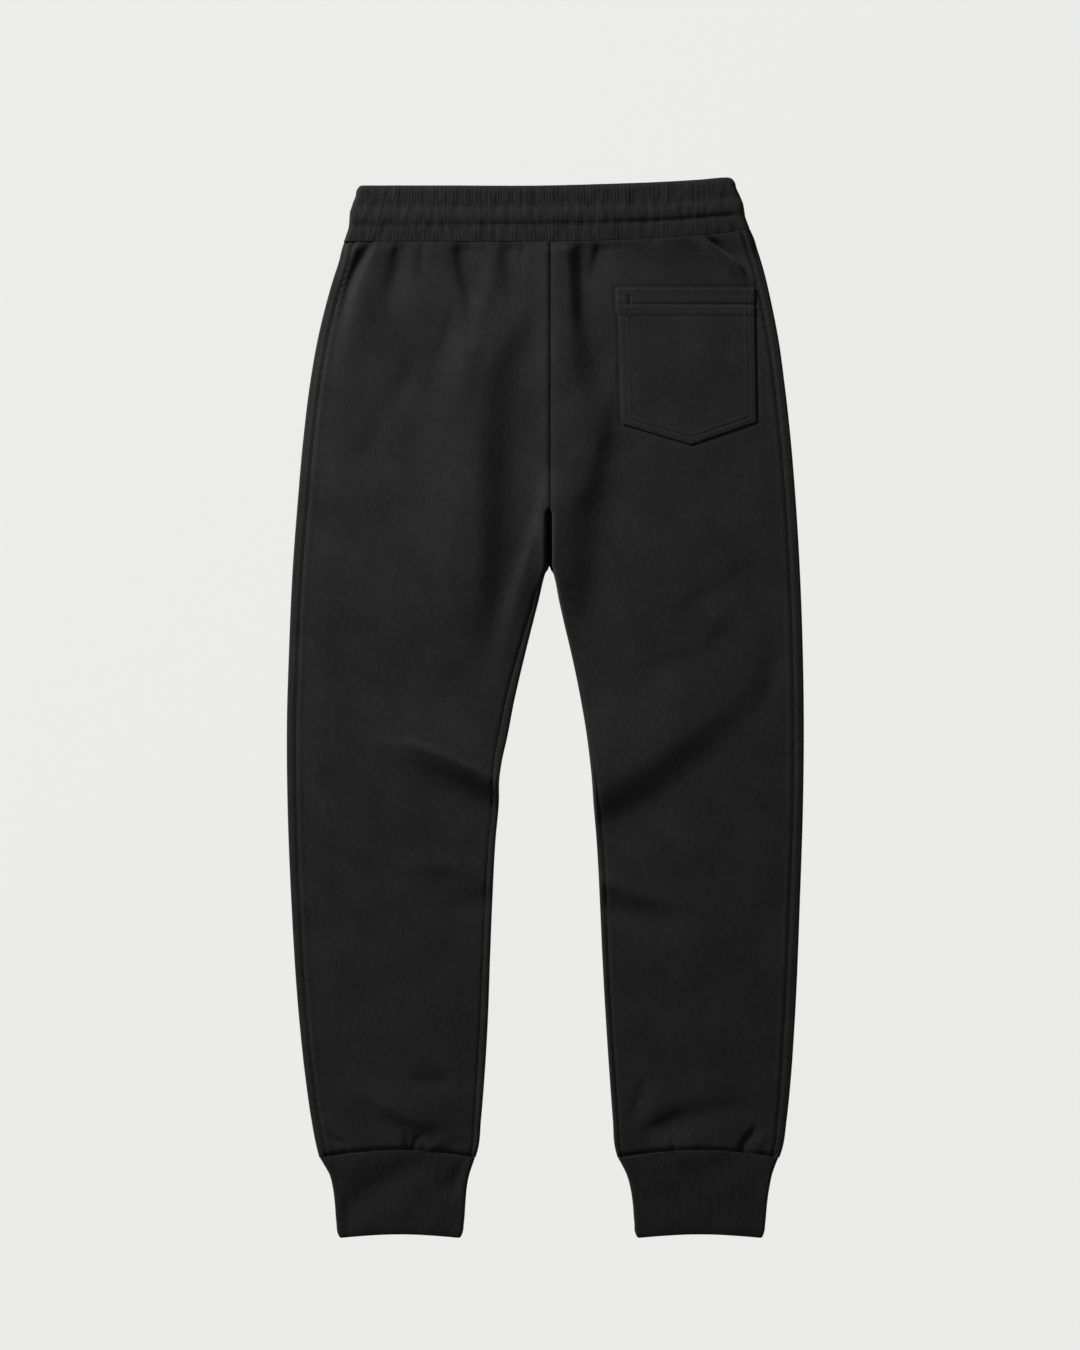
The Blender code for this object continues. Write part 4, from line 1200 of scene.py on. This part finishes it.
def add_panel(name, outer, inside, material):
    """A closed wall from its outer face and its coarser inside, sewn together along the four rims."""
    grids, start = [], 0
    faces = []
    for face in (outer, inside):
        rows, columns = face.shape[:2]
        grids.append(start + np.arange(rows * columns).reshape(rows, columns))
        made = grid_faces(rows, columns, start)
        faces += made if face is outer else [quad[::-1] for quad in made]
        start += rows * columns
    rims = (np.s_[0], True), (np.s_[-1], False), (np.s_[:, 0], False), (np.s_[:, -1], True)
    for rim, flip in rims:
        sewn = zip_rims(rim_of(outer[rim], grids[0][rim]), rim_of(inside[rim], grids[1][rim]))
        faces += [face[::-1] for face in sewn] if flip else sewn
    points = np.concatenate([outer.reshape(-1, 3), inside.reshape(-1, 3)])
    return add_mesh(name, points, faces, material)


def add_ring(name, x, down, z, material):
    """A closed wall round a flattened tube, from a grid that closes on itself both ways."""
    points = np.stack([x, LENGTH / 2 - down, z], axis=-1)
    rows, columns = points.shape[:2]
    faces = grid_faces(rows, columns, wrap=True)
    return add_mesh(name, points.reshape(-1, 3), faces, material)


def dress(piece, node):
    """Attaches the piece to the root body and hides the solid it stands for."""
    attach(piece, "root")
    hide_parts(node)


# ---- The pieces ----

def add_front_panel(side, jersey):
    name = f"front_{side_name(side)}_cloth"
    outer = front_face(side, 300, (10, 12, 30, 24))
    inside = front_face(side, 76, (4, 5, 12, 8), CLOTH)
    piece = add_panel(name, outer, inside, jersey)
    dress(piece, f"front_{side_name(side)}_panel")


def add_back_panel(side, jersey):
    name = f"back_{side_name(side)}_cloth"
    outer = back_face(side, 500, 160)
    inside = back_face(side, 110, 38, CLOTH)
    piece = add_panel(name, outer, inside, jersey)
    dress(piece, f"back_{side_name(side)}_panel")


def rib_profile(phase):
    """Round ribs with sharp valleys between them, one to each whole number of the phase."""
    return 1.6 * np.sqrt(np.abs(np.sin(math.pi * phase))) - 1.0


def band_gathers(x, share):
    """The lift of the waistband's gathers at x, a share of the way down: ribs, pulls and the sewn groove.

    The gathers lean outwards at both ends, and the groove below the elastic is tighter to the right.
    """
    lean = BAND_LEAN["left"] * ease((-0.10 - x) / 0.08) - BAND_LEAN["right"] * ease((x - 0.13) / 0.06)
    place = x + lean * (share - 0.5) * BAND_HEIGHT
    ribs = rib_profile(uneven(place, BAND_RIB_PITCH, 21))
    strength = 0.65 + 0.35 * ripples(x, 0.3 * share * BAND_HEIGHT, 0.012, 23)
    lift = BAND_RIB_RISE * BAND.at("rib", share) * strength * ribs
    for rise, size, slant, seed in BAND_PULLS:
        lift = lift + rise * ripples(place, slant * share, size, seed)
    tight = ease((x + 0.14) / 0.12) + 1.4 * ease((x - 0.04) / 0.08)
    return lift + tight * relief(BAND_GROOVE, share - BAND_GROOVE["share"])


def add_waistband(rib_knit):
    """The doubled rib with its elastic tunnel, gathered unevenly all round."""
    across, extra, depth = ring_layout(60, 6, BAND_WALL / 2)
    share = np.clip(across + extra / BAND_FACE, 0.0, 1.0)
    sides = BAND.at("left", share), BAND.at("right", share)
    height = BAND.at("height", share)
    kept = 1 - depth / BAND_WALL
    x, z = ring_points(*sides, height, depth, 60, 10, 760, lambda x: kept * band_gathers(x, share))
    top = band_top(x)
    seam = BAND_LINES.at("seam", x)
    down = mix(top, seam, across) + extra
    piece = add_ring("waistband_rib", x, down, z, rib_knit)
    dress(piece, "waistband")


def add_cuff(side, rib_knit):
    """The doubled rib round one ankle. Its ribs fan out a little towards the seam."""
    along, extra, depth = ring_layout(52, 6, CUFF_WALL / 2)
    share = np.clip(along + extra / CUFF_HEIGHT, 0.0, 1.0)
    names = (f"{side_name(side)}_outer", f"{side_name(side)}_inner")
    first, last = sorted((CUFFS.at(name, share) for name in names), key=lambda x: x[0, 0])

    def rib(x):
        fan = (x - (first + last) / 2) / (last - first)
        ribs = rib_profile(uneven(fan * CUFF_WIDTH, CUFF_RIB_PITCH, 31 + side))
        down = mix(cuff_seam(side, x), LENGTH, share)
        lift = CUFF_RIB_RISE * CUFFS.at("rib", share) * ribs + creases(CUFF_CREASES, side, x, down)
        lift = lift + CUFF_SLACK["rise"] * ripples(x, down, CUFF_SLACK["size"], 33 + side)
        return lift * (1 - depth / CUFF_WALL)

    x, z = ring_points(first, last, CUFFS.at("height", share), depth, 24, 8, 420, rib)
    middle = np.clip((x - first) / (last - first), 0.0, 1.0)
    hem = LENGTH - HEM_BOW * np.sin(math.pi * middle)
    down = mix(cuff_seam(side, x), hem, along) + extra
    piece = add_ring(f"cuff_{side_name(side)}_rib", x, down, z, rib_knit)
    dress(piece, f"cuff_{side_name(side)}")


def pocket_lift(x, down):
    """The pocket's own relief: its turned-in border, folded hem and the lines pressed in by stitching."""
    edge_in, below = from_pocket_edge(x, down), down - POCKET_TOP["down"]
    foot = ease((down - POCKET_CORNERS["right_down"] + 0.012) / 0.006)
    lift = POCKET_BORDER["rise"] * (1 - ease((edge_in - POCKET_BORDER["width"]) / 0.003))
    lift = lift + POCKET_HEM["rise"] * (1 - ease((below - POCKET_HEM["height"]) / 0.004))
    inner_sink = mix(POCKET_EDGE_SINKS["inner"], POCKET_EDGE_SINKS["inner_foot"], foot)
    for line, sink in zip(POCKET_EDGE_LINES, (POCKET_EDGE_SINKS["outer"], inner_sink)):
        lift = lift - sink * bell(edge_in - line, POCKET_LINE_WIDTHS["edge"])
    tight = mix(0.5, 1.0, ease((x - POCKET_TOP["left"]) / 0.080))
    for line, sink in zip(POCKET_HEM_LINES, POCKET_HEM_SINKS):
        lift = lift - sink * tight * bell(below - line, POCKET_LINE_WIDTHS["hem"])
    lift = lift + relief(POCKET_HEM_DIP, below - POCKET_HEM_DIP["down"])
    from_bar = x - pocket_left(down) - BARTACK["in"]
    past_bar = np.maximum(np.maximum(BARTACK["top"] - below, below - BARTACK["foot"]), 0.0)
    return lift - BARTACK["sink"] * bell(from_bar, 0.0012) * bell(past_bar, 0.0008)


def pocket_face(rows, columns, wall=0.0):
    """One face of the pocket, which lies on the back panel and follows its folds."""
    down_steps, across_steps, depth = face_steps(rows, columns, POCKET_CLOTH / 2, wall)
    v = np.clip((down_steps[0] + down_steps[1] / POCKET_HEIGHT)[:, None], 0.0, 1.0)
    u = np.clip(across_steps[0] + across_steps[1] / POCKET_WIDTH, 0.0, 1.0)
    x, down = pocket_place(u + 0 * v, v + 0 * u)
    top = 0.0 if wall else POCKET_CLOTH - depth + pocket_lift(x, down)
    z = upper_height(1, x, down) + top
    return np.stack([x, LENGTH / 2 - down, z], axis=-1)


def add_pocket(jersey):
    outer, inside = pocket_face(170, 150), pocket_face(40, 36, POCKET_CLOTH)
    piece = add_panel("back_pocket_cloth", outer, inside, jersey)
    dress(piece, "back_pocket")


# ---- Sewing ----

def stitch_shape():
    """One stitch along x as points and faces: a short thread that dips into the cloth at both ends."""
    sides, stations = 6, (-1.0, -0.8, -0.3, 0.3, 0.8, 1.0)
    points = []
    for station in stations:
        thick = THREAD_RADIUS * math.sqrt(max(1.0 - station**4, 0.04))
        arch = -0.9 * THREAD_RADIUS * station**2
        for k in range(sides):
            angle = math.tau * k / sides
            aside, up = thick * math.cos(angle), arch + thick * math.sin(angle)
            points.append((station * STITCH_LENGTH / 2, aside, up))
    faces = []
    for ring in range(len(stations) - 1):
        for k in range(sides):
            a, b = ring * sides + k, ring * sides + (k + 1) % sides
            faces.append((a, b, b + sides, a + sides))
    last = (len(stations) - 1) * sides
    faces.append(tuple(range(sides))[::-1])
    faces.append(tuple(range(last, last + sides)))
    return np.array(points), faces


def add_stitches(name, runs, thread):
    """Rows of stitches in one mesh. Each run is an array of points that a seam line follows."""
    shape, shape_faces = stitch_shape()
    points, faces = [], []
    for run in runs:
        steps = np.linalg.norm(np.diff(run, axis=0), axis=1)
        walked = np.concatenate([[0.0], np.cumsum(steps)])
        for middle in np.arange(STITCH_PITCH / 2, walked[-1] - STITCH_PITCH / 2, STITCH_PITCH):
            ends = middle - STITCH_LENGTH / 2, middle + STITCH_LENGTH / 2
            first, last = np.stack([np.interp(ends, walked, run[:, k]) for k in range(3)], axis=1)
            ahead = (last - first) / np.linalg.norm(last - first)
            aside = np.cross((0.0, 0.0, 1.0), ahead)
            aside /= np.linalg.norm(aside)
            axes = np.stack([ahead, aside, np.cross(ahead, aside)])
            start = len(points) * len(shape)
            points.append((first + last) / 2 + shape @ axes)
            faces += [tuple(start + k for k in face) for face in shape_faces]
    piece = add_mesh(name, np.concatenate(points), faces, thread)
    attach(piece, "root")


def band_runs():
    """One row along each side of the waistband's elastic."""
    runs = []
    for share in BAND_STITCH_LINES:
        first, last = BAND.at("left", share) + BAND_STITCH_END, BAND.at("right", share) - BAND_STITCH_END
        x = np.linspace(first, last, 400)
        down = mix(band_top(x), BAND_LINES.at("seam", x), share)
        z = BAND.at("height", share) + band_gathers(x, share) + 0.3 * THREAD_RADIUS
        runs.append(np.stack([x, LENGTH / 2 - down, z], axis=-1))
    return runs


def pocket_run(place, count):
    """A seam line on the pocket through the places (x, down) that place(t) gives."""
    x, down = place(np.linspace(0.0, 1.0, count))
    z = upper_height(1, x, down) + POCKET_CLOTH + pocket_lift(x, down) + 0.5 * THREAD_RADIUS
    return np.stack([x, LENGTH / 2 - down, z], axis=-1)


def pocket_runs():
    """Twin rows down both sides and along the foot, and two rows across the hem."""
    runs = []
    top, left_foot = POCKET_TOP["down"], POCKET_CORNERS["left_down"]
    right_foot = POCKET_CORNERS["right_down"]
    for line in POCKET_EDGE_LINES:
        up = line / POCKET_SLANT

        def left_side(t, line=line, up=up):
            down = mix(top + 0.001, left_foot - up + 0.3 * line, t)
            return pocket_left(down) + line, down

        def right_side(t, line=line, up=up):
            down = mix(top + 0.001, right_foot - up + 0.3 * line, t)
            return pocket_right(down) - line, down

        def foot(t, line=line, up=up):
            x = mix(POCKET_CORNERS["left"] + line, POCKET_CORNERS["right"] - line, t)
            u = (x - POCKET_CORNERS["left"]) / (POCKET_CORNERS["right"] - POCKET_CORNERS["left"])
            return x, pocket_foot(u) - up

        runs += [pocket_run(side_line, 90) for side_line in (left_side, right_side, foot)]
    for line in POCKET_HEM_LINES:
        def hem(t, line=line):
            down = top + line + 0 * t
            return mix(pocket_left(down) + 0.001, pocket_right(down) - 0.001, t), down

        runs.append(pocket_run(hem, 90))
    for place in np.linspace(BARTACK["top"], BARTACK["foot"], BARTACK["bars"]):
        def bar(t, place=place):
            down = top + place + 0 * t
            return pocket_left(down) + BARTACK["in"] + mix(-BARTACK["half"], BARTACK["half"], t), down

        runs.append(pocket_run(bar, 5))
    return runs


# ---- Materials ----

# The sizes of their patterns, in millimetres. The jersey's wales are 1.1 mm apart and the rib's ribs
# 1.2 mm, too fine to show here, so both grains are drawn coarser: about 3 mm and 2.5 mm wide.
JERSEY_GRAIN = 3.03
RIB_GRAIN = 2.5
DYE_CLOUD = 35.7
THREAD_TWIST = 1.11


def scale_of(millimetres):
    """The scale of a noise whose spots are about that size."""
    return 1000.0 / millimetres


def linear(hex_colour):
    """The linear colour of an sRGB hex value such as #202020."""
    parts = [int(hex_colour[k : k + 2], 16) / 255 for k in (1, 3, 5)]
    return tuple(c / 12.92 if c <= 0.04045 else ((c + 0.055) / 1.055) ** 2.4 for c in parts) + (1.0,)


def add_node(tree, kind, settings=None, inputs=None):
    """A node with its settings, and its inputs as values or as links from other nodes' outputs."""
    made = tree.nodes.new(kind)
    for name, value in (settings or {}).items():
        setattr(made, name, value)
    for name, value in (inputs or {}).items():
        if isinstance(value, bpy.types.NodeSocket):
            tree.links.new(value, made.inputs[name])
        else:
            made.inputs[name].default_value = value
    return made


def new_material(name):
    material = bpy.data.materials.new(name)
    material.use_nodes = True
    return material, material.node_tree, material.node_tree.nodes["Principled BSDF"]


def set_stops(ramp, stops):
    """Sets a ramp's two stops, each a position and a colour."""
    for stop, (position, colour) in zip(ramp.elements, stops):
        stop.position = position
        stop.color = linear(colour)


def finish_cotton(tree, shader, colour, bump):
    """Links the colour and the relief, and sets cotton's dull face: rough, hardly glossy, a little fuzzy.
    """
    tree.links.new(colour.outputs["Color"], shader.inputs["Base Color"])
    tree.links.new(bump.outputs["Normal"], shader.inputs["Normal"])
    shader.inputs["Roughness"].default_value = 0.90
    shader.inputs["Specular IOR Level"].default_value = 0.05
    shader.inputs["Sheen Weight"].default_value = 0.05
    shader.inputs["Sheen Roughness"].default_value = 0.50


def knit_jersey():
    """Brushed-back cotton sweat jersey, piece-dyed black: dull, with a faint grain and an uneven dye."""
    material, tree, shader = new_material("brushed_back_sweat_jersey")
    place = add_node(tree, "ShaderNodeTexCoord").outputs["Object"]
    drawn_out = add_node(
        tree, "ShaderNodeMapping", inputs={"Vector": place, "Scale": (1.0, 0.45, 1.0)}
    ).outputs["Vector"]
    grain = add_node(
        tree, "ShaderNodeTexNoise",
        inputs={"Vector": drawn_out, "Scale": scale_of(JERSEY_GRAIN), "Detail": 3.0, "Roughness": 0.6},
    ).outputs["Fac"]
    cloud = add_node(
        tree, "ShaderNodeTexNoise", inputs={"Vector": place, "Scale": scale_of(DYE_CLOUD), "Detail": 4.0}
    ).outputs["Fac"]
    both = add_node(
        tree, "ShaderNodeMix", {"data_type": "FLOAT"}, {"Factor": 0.5, "A": grain, "B": cloud}
    ).outputs["Result"]
    tone = add_node(tree, "ShaderNodeValToRGB", inputs={"Fac": both})
    set_stops(tone.color_ramp, ((0.36, "#191919"), (0.64, "#212121")))
    bump = add_node(
        tree, "ShaderNodeBump", inputs={"Height": grain, "Strength": 0.35, "Distance": 0.0006}
    )
    finish_cotton(tree, shader, tone, bump)
    return material


def knit_rib():
    """Doubled cotton rib knit, dyed with the jersey; a shade darker, as painted shade between its close
    ribs.
    """
    material, tree, shader = new_material("cotton_rib_knit")
    place = add_node(tree, "ShaderNodeTexCoord").outputs["Object"]
    drawn_out = add_node(
        tree, "ShaderNodeMapping", inputs={"Vector": place, "Scale": (1.0, 0.20, 1.0)}
    ).outputs["Vector"]
    grain = add_node(
        tree, "ShaderNodeTexNoise",
        inputs={"Vector": drawn_out, "Scale": scale_of(RIB_GRAIN), "Detail": 2.0, "Roughness": 0.6},
    ).outputs["Fac"]
    tone = add_node(tree, "ShaderNodeValToRGB", inputs={"Fac": grain})
    # Stops a shade darker than the jersey's: painted shade for the dark between the close-set ribs.
    set_stops(tone.color_ramp, ((0.32, "#171717"), (0.68, "#1E1E1E")))
    bump = add_node(
        tree, "ShaderNodeBump", inputs={"Height": grain, "Strength": 0.18, "Distance": 0.0006}
    )
    finish_cotton(tree, shader, tone, bump)
    return material


def spun_thread():
    """Spun polyester thread, black: smoother than the cloth, so that a stitch catches a little light."""
    material, tree, shader = new_material("spun_polyester_thread")
    place = add_node(tree, "ShaderNodeTexCoord").outputs["Object"]
    twist = add_node(
        tree, "ShaderNodeTexNoise",
        inputs={"Vector": place, "Scale": scale_of(THREAD_TWIST), "Detail": 1.0},
    ).outputs["Fac"]
    tone = add_node(tree, "ShaderNodeValToRGB", inputs={"Fac": twist})
    set_stops(tone.color_ramp, ((0.0, "#161616"), (1.0, "#222222")))
    tree.links.new(tone.outputs["Color"], shader.inputs["Base Color"])
    shader.inputs["Roughness"].default_value = 0.65
    shader.inputs["Specular IOR Level"].default_value = 0.25
    return material


# ---- Floor, lights and camera ----

LENS = 85
SENSOR = 36
SEEN_HEIGHT = 1.3203
SEEN_MIDDLE = (-0.00528, 0.0323, 0.006)
LAMP_PLACE = (-1.50, 1.66, 0.864)
LAMP_SIZE = 0.6
LAMP_POWER = 117.0
FLOOR_HALF = 6.0
FLOOR_LEVEL = -0.0004


def add_camera():
    """Straight above the garment, with the waist at the top of the frame."""
    camera = bpy.data.cameras.new("camera")
    camera.lens = LENS
    camera.sensor_width = SENSOR
    holder = bpy.data.objects.new("camera", camera)
    x, y, z = SEEN_MIDDLE
    holder.location = (x, y, z + SEEN_HEIGHT * LENS / SENSOR)
    bpy.context.scene.collection.objects.link(holder)
    bpy.context.scene.camera = holder


def add_floor():
    """A pale table that glows evenly, so that it stays plain and nearly free of shadow."""
    data = bpy.data.meshes.new("floor")
    corners = [(FLOOR_HALF * x, FLOOR_HALF * y, 0.0) for x, y in ((-1, -1), (1, -1), (1, 1), (-1, 1))]
    data.from_pydata(corners, [], [(0, 1, 2, 3)])
    floor = bpy.data.objects.new("floor", data)
    floor.location.z = FLOOR_LEVEL
    bpy.context.scene.collection.objects.link(floor)
    material, tree, shader = new_material("pale_table")
    shader.inputs["Base Color"].default_value = (0.008, 0.008, 0.008, 1.0)
    shader.inputs["Roughness"].default_value = 1.0
    shader.inputs["Specular IOR Level"].default_value = 0.0
    shader.inputs["Emission Color"].default_value = linear("#EBEBE9")
    shader.inputs["Emission Strength"].default_value = 0.995
    data.materials.append(material)


def add_lights():
    """A soft lamp up and to the left, and a dim even sky that is paler near the horizon."""
    lamp = bpy.data.lights.new("window_light", "AREA")
    lamp.shape = "DISK"
    lamp.size = LAMP_SIZE
    lamp.energy = LAMP_POWER
    holder = bpy.data.objects.new("window_light", lamp)
    holder.location = LAMP_PLACE
    x, y, z = LAMP_PLACE
    holder.rotation_euler = (math.atan2(math.hypot(x, y), z), 0.0, math.atan2(-y, -x) - math.pi / 2)
    bpy.context.scene.collection.objects.link(holder)

    world = bpy.data.worlds.new("studio")
    world.use_nodes = True
    tree = world.node_tree
    sky = tree.nodes["Background"]
    heading = add_node(tree, "ShaderNodeTexCoord").outputs["Generated"]
    up = add_node(tree, "ShaderNodeSeparateXYZ", inputs={"Vector": heading}).outputs["Z"]
    fade = add_node(
        tree, "ShaderNodeMapRange",
        inputs={"Value": up, "From Min": 0.10, "From Max": 0.35, "To Min": 0.50, "To Max": 0.22},
    )
    tree.links.new(fade.outputs["Result"], sky.inputs["Strength"])
    sky.inputs["Color"].default_value = (1.0, 1.0, 1.0, 1.0)
    bpy.context.scene.world = world
    bpy.context.scene.view_settings.view_transform = "Standard"


def main():
    add_camera()
    add_floor()
    add_lights()
    jersey, rib_knit, thread = knit_jersey(), knit_rib(), spun_thread()
    for side in (-1, 1):
        add_front_panel(side, jersey)
        add_back_panel(side, jersey)
        add_cuff(side, rib_knit)
    add_waistband(rib_knit)
    add_pocket(jersey)
    add_stitches("pocket_topstitching", pocket_runs(), thread)
    add_stitches("waistband_topstitching", band_runs(), thread)


main()
